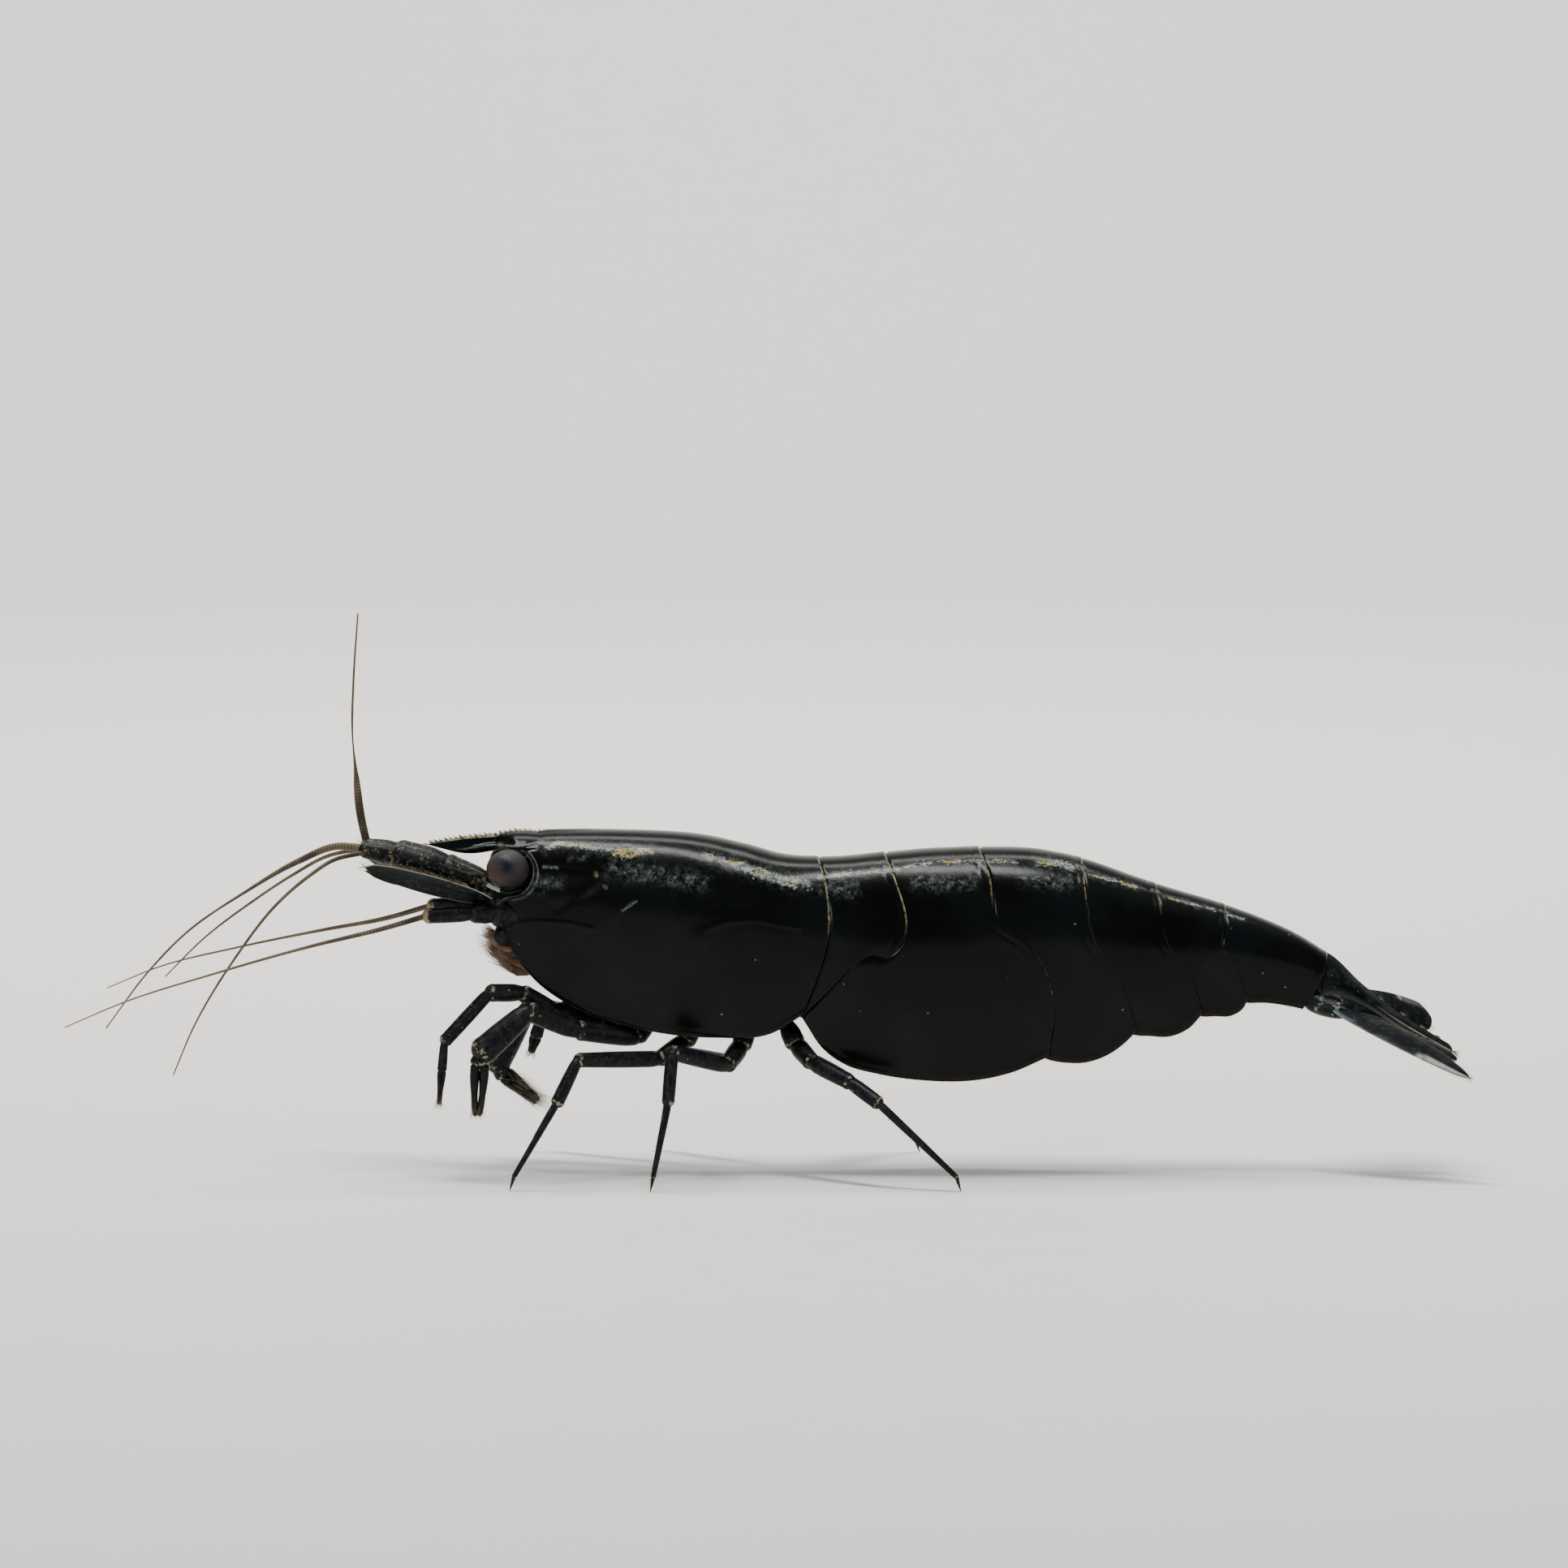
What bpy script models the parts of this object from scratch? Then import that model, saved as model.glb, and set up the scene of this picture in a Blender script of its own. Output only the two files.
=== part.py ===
"""Aquarium shrimp (a dwarf Neocaridina, adult female), standing on the floor, life size.

The head points along -X, the back is up (+Z) and the animal's left side faces -Y.
The origin is on the floor, midway between the feeler tips and the tail tip.
Sizes below are in millimetres; MM turns them into metres when a piece is made.
"""

import math

import bmesh
import bpy
import numpy as np
from mathutils import Matrix, Vector

MM = 0.001
SIDES = (("left", -1), ("right", 1))

# Driving sizes
GAP = 0.12                # clear joint between neighbouring solids
SHELL = 0.5               # wall of the shell plates
BLADE = 0.5               # thickness of fins, scales and swimmerets
SHOULDER = 0.42           # share of the body's depth where its sides are widest
TUCK = 0.14               # how far the sides draw in below the shoulder
SAGITTAL_STEPS = 8        # steps from the back's middle down one side

# Half width of the body along X: (x, half width)
HALF_WIDTHS = [(-7.8, 1.1), (-6.5, 1.3), (-5.0, 1.55), (-3.0, 1.72), (-1.0, 1.78), (1.2, 1.70),
               (2.6, 1.8), (4.5, 1.9), (6.5, 1.86), (8.5, 1.7), (10.5, 1.45), (12.5, 1.2),
               (14.0, 1.02), (16.0, 0.8)]

# The back's outline from the front of the carapace to the telson: (x, z)
BACK = [(-6.85, 9.84), (-5.0, 9.90), (-3.6, 9.88), (-2.2, 9.78), (-0.8, 9.49), (0.2, 9.21),
        (1.19, 9.12), (3.1, 9.24), (4.3, 9.35), (5.8, 9.40), (7.8, 9.31), (8.74, 9.10),
        (10.87, 8.37), (12.87, 7.76), (13.9, 7.39), (15.0, 6.9), (15.91, 6.35)]

# Joint lines of the shell, seen from the side, from the back down to the rim: (x, z)
JOINT_LINES = [
    [(-6.85, 9.84), (-6.77, 8.80), (-7.10, 8.20), (-7.55, 7.80), (-7.70, 7.27), (-7.60, 6.69)],
    [(1.19, 9.12), (1.37, 8.53), (1.48, 7.13), (1.18, 5.92), (0.72, 4.74)],
    [(3.10, 9.24), (3.39, 8.54), (3.70, 7.21), (2.46, 5.70), (1.14, 4.29)],
    [(5.80, 9.40), (6.06, 8.70), (6.30, 7.40), (7.30, 6.60), (7.90, 5.10), (7.74, 3.52)],
    [(8.74, 9.10), (8.82, 8.18), (9.06, 6.84), (9.85, 5.60), (10.30, 4.22)],
    [(10.87, 8.37), (10.95, 7.90), (11.15, 6.80), (11.85, 5.76), (12.20, 4.69)],
    [(12.87, 7.76), (12.85, 7.40), (12.75, 6.61), (13.20, 5.85), (13.50, 5.10)],
    [(15.91, 6.35), (15.80, 5.95), (15.52, 5.25), (15.16, 4.78)],
]

# Lower rims of the carapace and of the six tail segments, front to back: (x, z)
RIMS = [
    [(-7.60, 6.69), (-7.28, 6.12), (-6.82, 5.61), (-5.89, 4.96), (-3.80, 4.27), (-1.71, 4.04),
     (-0.09, 4.16), (0.72, 4.74)],
    [(0.72, 4.74), (0.93, 4.50), (1.14, 4.29)],
    [(1.14, 4.29), (1.45, 3.66), (2.09, 3.24), (2.90, 3.02), (4.13, 2.84), (5.80, 2.84),
     (6.80, 3.05), (7.74, 3.52)],
    [(7.74, 3.52), (8.30, 3.32), (8.88, 3.31), (9.50, 3.50), (10.05, 3.88), (10.30, 4.22)],
    [(10.30, 4.22), (10.70, 4.06), (11.32, 4.03), (11.85, 4.24), (12.20, 4.69)],
    [(12.20, 4.69), (12.60, 4.60), (13.07, 4.60), (13.40, 4.78), (13.50, 5.10)],
    [(13.50, 5.10), (14.09, 4.97), (14.80, 4.86), (15.16, 4.78)],
]

# How far down the roof between the side walls lies, as a share of the depth, and the steps
# along each plate
ROOFS = [0.55, 0.55, 0.55, 0.55, 0.55, 0.55, 0.92]
LENGTH_STEPS = [14, 4, 9, 6, 6, 5, 6]


def material(name, colour, roughness):
    """A plain Principled material in one colour."""
    made = bpy.data.materials.new(name)
    made.use_nodes = True
    shader = made.node_tree.nodes["Principled BSDF"]
    shader.inputs["Base Color"].default_value = (*colour, 1.0)
    shader.inputs["Roughness"].default_value = roughness
    shader.inputs["Metallic"].default_value = 0.0
    made.diffuse_color = (*colour, 1.0)
    return made


def smooth_through(keys, values, at):
    """Cubic curve through the values at rising keys, with slopes taken from the neighbours."""
    keys = np.asarray(keys, float)
    values = np.asarray(values, float)
    slopes = np.gradient(values, keys, axis=0)
    i = np.clip(np.searchsorted(keys, at, side="right") - 1, 0, len(keys) - 2)
    span = keys[i + 1] - keys[i]
    s = (at - keys[i]) / span
    if values.ndim > 1:
        s, span = s[:, None], span[:, None]
    start, end = values[i], values[i + 1]
    lead, trail = slopes[i] * span, slopes[i + 1] * span
    return ((2 * s**3 - 3 * s**2 + 1) * start + (s**3 - 2 * s**2 + s) * lead
            + (3 * s**2 - 2 * s**3) * end + (s**3 - s**2) * trail)


def along(points, u):
    """Places at shares u of the length of a smooth line through the points."""
    points = np.asarray(points, float)
    steps = np.linalg.norm(np.diff(points, axis=0), axis=1)
    keys = np.concatenate([[0.0], np.cumsum(steps)])
    return smooth_through(keys / keys[-1], points, u)


def down(points, t):
    """Places at shares t of the drop in z along a falling line of (x, z) points."""
    points = np.asarray(points, float)
    top, bottom = points[0, 1], points[-1, 1]
    x = smooth_through((top - points[:, 1]) / (top - bottom), points[:, 0], t)
    return np.stack([x, top + (bottom - top) * t], axis=1)


def half_width(x):
    """The body's half width at x."""
    keys, widths = zip(*HALF_WIDTHS)
    x = np.asarray(x, float)
    return smooth_through(keys, widths, np.clip(x.ravel(), keys[0], keys[-1])).reshape(x.shape)


def flank(t):
    """Share of the half width at share t of the depth: a round back over sides that tuck in."""
    back = np.sqrt(1 - (1 - np.minimum(t / SHOULDER, 1)) ** 2.2)
    below = np.clip((t - SHOULDER) / (1 - SHOULDER), 0, 1)
    return back * (1 - TUCK * below**2)


def patch(front, rear, back, rim, u, t):
    """Side view of a plate: the Coons patch between its four edges, at shares u along, t down."""
    u, t = u[:, None, None], t[None, :, None]
    ends = (1 - u) * down(front, t.ravel())[None] + u * down(rear, t.ravel())[None]
    sides = (1 - t) * along(back, u.ravel())[:, None] + t * along(rim, u.ravel())[:, None]
    corners = ((1 - u) * ((1 - t) * front[0] + t * front[-1])
               + u * ((1 - t) * rear[0] + t * rear[-1]))
    return ends + sides - corners


def new_object(name, vertices, faces, finish):
    """A smooth-shaded mesh object with its faces pointing out."""
    mesh = bpy.data.meshes.new(name)
    mesh.from_pydata([Vector(v) * MM for v in vertices], [], faces)
    shape = bmesh.new()
    shape.from_mesh(mesh)
    bmesh.ops.recalc_face_normals(shape, faces=shape.faces)
    shape.to_mesh(mesh)
    shape.free()
    mesh.shade_smooth()
    mesh.set_sharp_from_angle(angle=math.radians(40))
    return add_object(name, mesh, finish)


def add_object(name, data, finish):
    """Puts a mesh or a curve in the shrimp's collection, with its finish."""
    made = bpy.data.objects.new(name, data)
    data.materials.append(finish)
    shrimp.objects.link(made)
    return made


def offset(line, distance):
    """The line of (x, z) points moved sideways by a distance, towards +X where positive."""
    line = np.asarray(line, float)
    slope = np.gradient(line, axis=0)
    across = np.stack([-slope[:, 1], slope[:, 0]], axis=1)
    return line + distance * across / np.linalg.norm(across, axis=1)[:, None]


def plate_edges(k):
    """The front, rear, back and rim lines of plate k, GAP clear of its neighbours."""
    front = offset(JOINT_LINES[k], GAP / 2)
    rear = offset(JOINT_LINES[k + 1], -GAP / 2)
    reach = np.linspace(front[0, 0], rear[0, 0], 7)
    back_x, back_z = zip(*BACK)
    back = np.stack([reach, smooth_through(back_x, back_z, reach)], axis=1)
    back[0], back[-1] = front[0], rear[0]
    rim = np.array([front[-1], *RIMS[k][1:-1], rear[-1]])
    return front, rear, back, rim


def shell_plate(name, k, finish):
    """Plate k, a saddle of shell: its outer skin, and an inner one SHELL inside, with a roof.

    The outer skin runs over the back from rim to rim. The inner skin climbs from each rim
    to the roof's share of the depth, and crosses over there.
    """
    edges = plate_edges(k)
    u = np.linspace(0, 1, LENGTH_STEPS[k] + 1)
    v = np.linspace(0, 1, SAGITTAL_STEPS + 1)
    crowding = 1.6                                # crowds the steps towards the back's middle
    depth_outside = v**crowding
    depth_inside = np.maximum(depth_outside, ROOFS[k])
    outside = patch(*edges, u, depth_outside)
    inside = patch(*edges, u, depth_inside)
    y_outside = half_width(outside[..., 0]) * flank(depth_outside)
    y_inside = half_width(inside[..., 0]) * flank(depth_inside) - SHELL
    y_inside = y_inside * np.minimum(v / ROOFS[k] ** (1 / crowding), 1)

    def both_sides(side_view, y):
        """One row per u: the left side from rim to back, then the right from back to rim."""
        left = np.stack([side_view[..., 0], -y, side_view[..., 1]], axis=-1)[:, ::-1]
        right = np.stack([side_view[..., 0], y, side_view[..., 1]], axis=-1)[:, 1:]
        return np.concatenate([left, right], axis=1)

    skins = np.stack([both_sides(outside, y_outside), both_sides(inside, y_inside)])
    count_u, count_v = skins.shape[1:3]
    index = np.arange(2 * count_u * count_v).reshape(2, count_u, count_v).tolist()
    outer, inner = index

    def strip(a, b):
        """Pairs of triangles between two neighbouring rows of vertices."""
        return [face for i in range(len(a) - 1)
                for face in ((a[i], a[i + 1], b[i + 1]), (a[i], b[i + 1], b[i]))]

    faces = []
    for i in range(count_u - 1):
        faces += strip(outer[i], outer[i + 1]) + strip(inner[i + 1], inner[i])
    faces += strip(outer[0], inner[0]) + strip(outer[-1], inner[-1])
    for end in (0, -1):
        faces += strip([row[end] for row in outer], [row[end] for row in inner])
    return new_object(name, skins.reshape(-1, 3), faces, finish)


def loft(name, rings, finish):
    """A closed body through rings with the same number of points, capped at both ends."""
    count = len(rings[0])
    vertices = [p for ring in rings for p in ring]
    faces = [tuple(range(count))]
    for r in range(len(rings) - 1):
        for i in range(count):
            j = (i + 1) % count
            faces.append((r * count + i, r * count + j, (r + 1) * count + j, (r + 1) * count + i))
    faces.append(tuple(range((len(rings) - 1) * count, len(rings) * count)))
    return new_object(name, vertices, faces, finish)


def oval(x, z_low, z_high, half, count=12, boxy=2.4):
    """A rounded ring across the body at x, from z_low to z_high; boxy squares its corners."""
    middle, rise = (z_low + z_high) / 2, (z_high - z_low) / 2
    ring = []
    for i in range(count):
        a = 2 * math.pi * (i + 0.5) / count
        c, s = math.cos(a), math.sin(a)
        ring.append((x, half * math.copysign(abs(c) ** (2 / boxy), c),
                     middle + rise * math.copysign(abs(s) ** (2 / boxy), s)))
    return ring


def tube(name, places, radii, finish):
    """A capped round tube through the places, with a radius at each."""
    curve = bpy.data.curves.new(name, "CURVE")
    curve.dimensions = "3D"
    curve.bevel_depth = max(radii) * MM
    curve.bevel_resolution = 2
    curve.use_fill_caps = True
    spline = curve.splines.new("POLY")
    spline.points.add(len(places) - 1)
    for point, place, radius in zip(spline.points, places, radii):
        point.co = (*(Vector(place) * MM), 1.0)
        point.radius = radius / max(radii)
    return add_object(name, curve, finish)


def whip(name, route, thick, thin, finish, count=14):
    """A feeler: a smooth tapering tube through the route's points."""
    places = along(route, np.linspace(0, 1, count))
    return tube(name, [tuple(p) for p in places], np.linspace(thick, thin, count), finish)


def limb(name, joints, finish):
    """A jointed leg: straight lengths between joints (x, y, z, radius), each bend rounded."""
    bend = 0.22
    places, radii = [joints[0][:3]], [joints[0][3]]
    for before, here, after in zip(joints, joints[1:], joints[2:]):
        centre = Vector(here[:3])
        for other in (before, after):
            away = Vector(other[:3]) - centre
            reach = min(bend, away.length * 0.35)
            places.append(tuple(centre + away.normalized() * reach))
            radii.append(here[3])
    places.append(joints[-1][:3])
    radii.append(joints[-1][3])
    return tube(name, places, radii, finish)


def blade(name, outline, thickness, root, tip, lean, finish):
    """A flat blade: an outline of (share along, half width) filled and thickened.

    It reaches from root to tip. lean turns it about its length, from lying flat.
    """
    root, tip = Vector(root), Vector(tip)
    length = (tip - root).length
    curve = bpy.data.curves.new(name, "CURVE")
    curve.dimensions = "2D"
    curve.fill_mode = "BOTH"
    curve.extrude = thickness / 2 * MM
    edge = [(s * length, w) for s, w in outline] + [(s * length, -w) for s, w in outline[::-1]]
    spline = curve.splines.new("POLY")
    spline.points.add(len(edge) - 1)
    for point, (x, y) in zip(spline.points, edge):
        point.co = (x * MM, y * MM, 0.0, 1.0)
    spline.use_cyclic_u = True
    made = add_object(name, curve, finish)
    forward = (tip - root).normalized()
    across = Vector((0, 0, 1)).cross(forward).normalized()
    turn = Matrix((forward, across, forward.cross(across))).transposed()
    made.rotation_euler = (turn @ Matrix.Rotation(lean, 3, "X")).to_euler()
    made.location = root * MM
    return made


def leaf_outline(width, blunt, count=8):
    """Half widths of a leaf; a larger blunt carries the width further towards both ends."""
    shares = [0.5 - 0.5 * math.cos(math.pi * (i + 0.35) / (count - 0.3)) for i in range(count)]
    return [(s, width / 2 * math.sin(math.pi * s) ** (1 / blunt)) for s in shares]


def make_shell():
    """The carapace, and the six segments of the tail, each one saddle of shell."""
    names = ["carapace"] + [f"abdomen_{k}" for k in range(1, 7)]
    for k, name in enumerate(names):
        shell_plate(name, k, SHELL_BLACK)


def make_rostrum():
    """The toothed blade over the eyes: its upper edge carries small forward-pointing teeth."""
    tip, base_x, base_low, base_high = (-9.98, 9.47), -6.95, 9.30, 9.80
    teeth, tooth_height = 14, 0.10
    upper = [base_high, 9.76, 9.66, 9.56]
    shares = np.linspace(0, 1, teeth * 2 + 1)[:-1]
    crest = smooth_through(np.linspace(0, 1, len(upper)), upper, shares)
    edge = [(base_x + (tip[0] + 0.25 - base_x) * s, z + tooth_height * (i % 2))
            for i, (s, z) in enumerate(zip(shares, crest))]
    edge += [tip, (-9.6, 9.26), (-9.1, 9.17), (-8.0, 9.24), (base_x, base_low)]
    curve = bpy.data.curves.new("rostrum", "CURVE")
    curve.dimensions = "2D"
    curve.fill_mode = "BOTH"
    curve.extrude = BLADE / 2 * MM
    spline = curve.splines.new("POLY")
    spline.points.add(len(edge) - 1)
    for point, (x, z) in zip(spline.points, edge):
        point.co = (x * MM, z * MM, 0.0, 1.0)
    spline.use_cyclic_u = True
    made = add_object("rostrum", curve, SHELL_BLACK)
    made.rotation_euler = (math.pi / 2, 0, 0)


def make_thorax():
    """The underside of the trunk, between the carapace's walls, that carries the legs."""
    stations = [(-7.10, 6.75, 7.80, 0.45), (-6.40, 5.95, 7.10, 0.60), (-5.20, 4.98, 6.60, 0.80),
                (-3.80, 4.50, 6.45, 0.95), (-1.70, 4.30, 6.25, 1.00), (-0.20, 4.40, 6.15, 0.98),
                (0.72, 4.75, 6.20, 0.92)]
    loft("thorax", [oval(*station) for station in stations], FLESH_BLACK)


def make_head():
    """The front of the head between the eyes, which carries eyes, antennules and mouth."""
    stations = [(-7.12, 8.55, 9.18, 0.30), (-7.32, 8.35, 9.10, 0.38), (-7.52, 7.55, 9.00, 0.42),
                (-7.90, 7.15, 8.85, 0.46), (-8.30, 7.40, 8.45, 0.40)]
    loft("head", [oval(*station) for station in stations], FLESH_BLACK)


def make_eyes():
    """Stalked round eyes on each side of the rostrum's root."""
    eye_radius = 0.58
    for side, sign in SIDES:
        centre = Vector((-7.58, sign * 1.32, 8.90))
        root = Vector((-7.52, sign * (0.42 + GAP), 8.76))
        bpy.ops.mesh.primitive_uv_sphere_add(segments=16, ring_count=10, radius=eye_radius * MM,
                                             location=centre * MM)
        eye = bpy.context.object
        eye.name = f"eye_{side}"
        eye.data.name = eye.name
        eye.data.materials.append(EYE_GREY)
        eye.data.shade_smooth()
        for collection in list(eye.users_collection):
            collection.objects.unlink(eye)
        shrimp.objects.link(eye)
        reach = (centre - root).normalized()
        end = centre - reach * (eye_radius + 0.05)
        tube(f"eyestalk_{side}", [tuple(root), tuple((root + end) / 2), tuple(end)],
             [0.24, 0.25, 0.27], FLESH_BLACK)


def make_antennules():
    """The upper feelers: a thick stem on each side, and two whips on each stem."""
    for side, sign in SIDES:
        stem = [(-8.42, sign * 0.54, 8.44, 0.32), (-9.20, sign * 0.66, 8.80, 0.33),
                (-10.0, sign * 0.66, 9.12, 0.32), (-11.0, sign * 0.64, 9.36, 0.28),
                (-11.76, sign * 0.60, 9.40, 0.25)]
        limb(f"antennule_base_{side}", stem, FLESH_BLACK)
    routes = {
        "antennule_outer_right": [(-11.92, 0.62, 9.72), (-12.00, 0.75, 11.2), (-12.15, 0.9, 12.6),
                                  (-12.12, 0.95, 14.0), (-11.98, 1.0, 16.10)],
        "antennule_inner_right": [(-12.00, 0.80, 9.20), (-12.9, 1.05, 9.02), (-13.9, 1.5, 8.45),
                                  (-15.2, 2.2, 7.55), (-16.6, 2.9, 6.45), (-17.8, 3.4, 5.25)],
        "antennule_outer_left": [(-12.00, -0.40, 9.58), (-12.9, -0.45, 9.42), (-13.6, -0.6, 9.05),
                                 (-15.1, -1.2, 8.22), (-16.8, -2.0, 7.08), (-17.8, -2.4, 6.06),
                                 (-19.0, -2.8, 4.46)],
        "antennule_inner_left": [(-12.00, -0.92, 9.20), (-12.65, -1.3, 9.07), (-13.15, -1.7, 8.80),
                                 (-14.0, -2.3, 8.12), (-15.3, -3.4, 6.50), (-16.4, -4.2, 4.66),
                                 (-16.95, -4.6, 3.35)],
    }
    for name, route in routes.items():
        whip(name, route, 0.25, 0.22, FEELER_BROWN)


def make_antennae():
    """The lower feelers: a round stem, a broad scale over it, and one long whip each."""
    route = [(-10.06, 1.50, 7.52), (-11.15, 2.0, 7.24), (-13.1, 3.05, 6.86), (-15.8, 4.7, 6.24),
             (-18.2, 6.1, 5.60), (-19.89, 6.9, 4.93)]
    for side, sign in SIDES:
        stem = [(-7.86, sign * 0.92, 7.62, 0.30), (-8.60, sign * 1.22, 7.60, 0.26),
                (-9.92, sign * 1.45, 7.54, 0.25)]
        limb(f"antenna_base_{side}", stem, FLESH_BLACK)
        drop = 0.0 if sign < 0 else -0.45
        far = [(x, sign * y, z + drop * (i / (len(route) - 1))) for i, (x, y, z) in enumerate(route)]
        whip(f"antenna_whip_{side}", far, 0.25, 0.20, FEELER_BROWN)
        blade(f"antenna_scale_{side}", leaf_outline(0.95, 2.4), BLADE,
              (-8.10, sign * 1.35, 8.10), (-11.74, sign * 1.62, 8.98), sign * math.radians(14),
              SHELL_BLACK)


def make_mouth_legs():
    """The third maxillipeds: slim legs folded forward under the mouth."""
    for side, sign in SIDES:
        joints = [(-6.90, sign * 0.30, 5.68, 0.22), (-7.48, sign * 0.46, 5.80, 0.24),
                  (-7.98, sign * 0.60, 6.38, 0.24), (-8.16, sign * 0.60, 6.92, 0.22)]
        limb(f"maxilliped_{side}", joints, FLESH_BROWN)


def make_claw_legs():
    """The two front pairs, which end in small pincers and are held off the floor."""
    legs = {
        "leg_1_left": [(-4.6, -0.60, 4.50, 0.26), (-4.9, -0.66, 4.20, 0.28),
                       (-6.3, -0.78, 4.72, 0.26), (-7.2, -1.45, 5.35, 0.25),
                       (-8.1, -2.0, 5.43, 0.25), (-9.38, -2.2, 3.98, 0.25),
                       (-9.56, -2.2, 2.15, 0.22)],
        "leg_2_left": [(-3.6, -0.52, 4.22, 0.26), (-3.95, -0.80, 3.78, 0.28),
                       (-5.6, -1.60, 4.25, 0.30), (-7.0, -2.05, 4.92, 0.32),
                       (-8.38, -2.5, 3.70, 0.38), (-8.42, -2.5, 1.85, 0.25)],
        "leg_1_right": [(-4.6, 0.60, 4.50, 0.26), (-4.9, 0.66, 4.20, 0.28),
                        (-6.1, 0.85, 4.66, 0.26), (-6.75, 1.2, 4.25, 0.25),
                        (-7.05, 1.3, 3.25, 0.22)],
        "leg_2_right": [(-3.6, 0.52, 4.22, 0.26), (-3.95, 0.80, 3.78, 0.28),
                        (-5.6, 1.60, 4.25, 0.28), (-7.10, 2.05, 4.60, 0.28),
                        (-8.10, 2.3, 2.72, 0.30), (-6.88, 2.1, 1.72, 0.25)],
    }
    for name, joints in legs.items():
        limb(name, joints, FLESH_BLACK)


def lowered_leg(joints, step):
    """The leg opposite: it stands wider and bends lower, and its last length is cut at the floor.

    step moves its foot along X.
    """
    spread, sag = 0.009, 0.17                     # per millimetre out from the middle
    *upper, ankle, knuckle = [(x * (1 - spread * y), -y, z + sag * y, r)
                              for x, y, z, r in joints[:-1]]
    share = (ankle[2] - joints[-2][2]) / (ankle[2] - knuckle[2])
    x, y, _ = (a + (b - a) * share for a, b in zip(ankle, knuckle[:3]))
    foot = [(x + step, y, joints[-2][2], knuckle[3]), (x + step, y, 0.0, knuckle[3])]
    return [*upper, ankle, *foot]


def make_walking_legs():
    """Three pairs of walking legs; each ends upright in a small flat on the floor."""
    slim = 0.25
    left = {
        3: [(-2.3, -0.52, 4.15, 0.26), (-2.55, -0.78, 3.74, 0.27), (-3.3, -1.6, 3.40, 0.27),
            (-5.57, -3.3, 3.63, slim), (-6.15, -3.9, 2.46, slim), (-7.45, -4.2, 0.35, slim),
            (-7.45, -4.2, 0.0, slim)],
        4: [(-0.75, -0.58, 4.10, 0.28), (-0.95, -0.90, 3.60, 0.29), (-1.35, -1.9, 3.25, 0.28),
            (-2.89, -3.6, 3.88, slim), (-3.0, -4.1, 2.49, slim), (-3.44, -4.4, 0.35, slim),
            (-3.44, -4.4, 0.0, slim)],
        5: [(0.35, -0.58, 4.22, 0.30), (0.62, -0.95, 3.68, 0.30), (1.08, -1.75, 3.30, 0.28),
            (2.17, -2.9, 2.93, 0.27), (2.97, -3.5, 2.41, slim), (5.25, -4.3, 0.35, slim),
            (5.25, -4.3, 0.0, slim)],
    }
    for number, joints in left.items():
        limb(f"leg_{number}_left", joints, FLESH_BLACK)
        limb(f"leg_{number}_right", lowered_leg(joints, -0.6 if number == 5 else 0.0), FLESH_BLACK)


def make_swimmerets():
    """Five pairs of paddles that hang between the segments' side plates and lean back."""
    for k in range(1, 6):
        edges = plate_edges(k)
        along_plate, clear_roof, above_rim = (0.45, 0.58), 0.05, 0.10
        depths = np.array([ROOFS[k] + clear_roof, 1 - above_rim])
        (root, _), (_, tip) = patch(*edges, np.array(along_plate), depths)
        room = half_width(tip[0]) * flank(1.0) - SHELL
        width = min(room - GAP, 0.9)
        for side, sign in SIDES:
            y = sign * (width + GAP) / 2
            blade(f"swimmeret_{k}_{side}", leaf_outline(width, 2.2, 6), BLADE,
                  (root[0], y, root[1]), (tip[0], y, tip[1]), 0.0, FLESH_BROWN)


def make_tail_fan():
    """The pointed telson in the middle, and two pairs of blades on short stems beside it."""
    stations = [(16.02, 5.42, 6.22, 0.52), (16.85, 4.95, 5.50, 0.50), (18.0, 4.18, 4.66, 0.40),
                (19.55, 3.30, 3.72, 0.24)]
    loft("telson", [oval(*station, count=10) for station in stations], SHELL_BLACK)
    blades = {            # root (x, y, z), tip (x, y, z), width, lean from flat in degrees
        "uropod_outer_left": ((16.32, -1.20, 4.78), (19.90, -2.85, 3.26), 1.15, 0),
        "uropod_inner_left": ((16.35, -0.55, 4.42), (19.60, -1.15, 3.28), 0.78, 4),
        "uropod_outer_right": ((16.32, 1.20, 4.72), (19.15, 2.80, 4.18), 1.15, -22),
        "uropod_inner_right": ((16.35, 0.55, 4.42), (19.60, 1.15, 3.28), 0.78, -8),
    }
    for name, (root, tip, width, lean) in blades.items():
        blade(name, leaf_outline(width, 2.2, 9), BLADE, root, tip, math.radians(lean), SHELL_BLACK)
    for side, sign in SIDES:
        tube(f"uropod_base_{side}", [(15.42, sign * 0.45, 4.92), (15.80, sign * 0.72, 4.72),
                                     (16.20, sign * 0.90, 4.58)], [0.26, 0.30, 0.26], SHELL_BLACK)


for old in list(bpy.data.objects):
    bpy.data.objects.remove(old, do_unlink=True)
shrimp = bpy.data.collections.new("aquarium_shrimp")
bpy.context.scene.collection.children.link(shrimp)
SHELL_BLACK = material("shell_black", (0.010, 0.013, 0.014), 0.35)
FLESH_BLACK = material("flesh_black", (0.012, 0.013, 0.012), 0.45)
FLESH_BROWN = material("flesh_brown", (0.060, 0.035, 0.020), 0.50)
FEELER_BROWN = material("feeler_brown", (0.085, 0.060, 0.040), 0.50)
EYE_GREY = material("eye_grey", (0.120, 0.105, 0.115), 0.35)

make_shell()
make_rostrum()
make_thorax()
make_head()
make_eyes()
make_antennules()
make_antennae()
make_mouth_legs()
make_claw_legs()
make_walking_legs()
make_swimmerets()
make_tail_fan()
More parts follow.
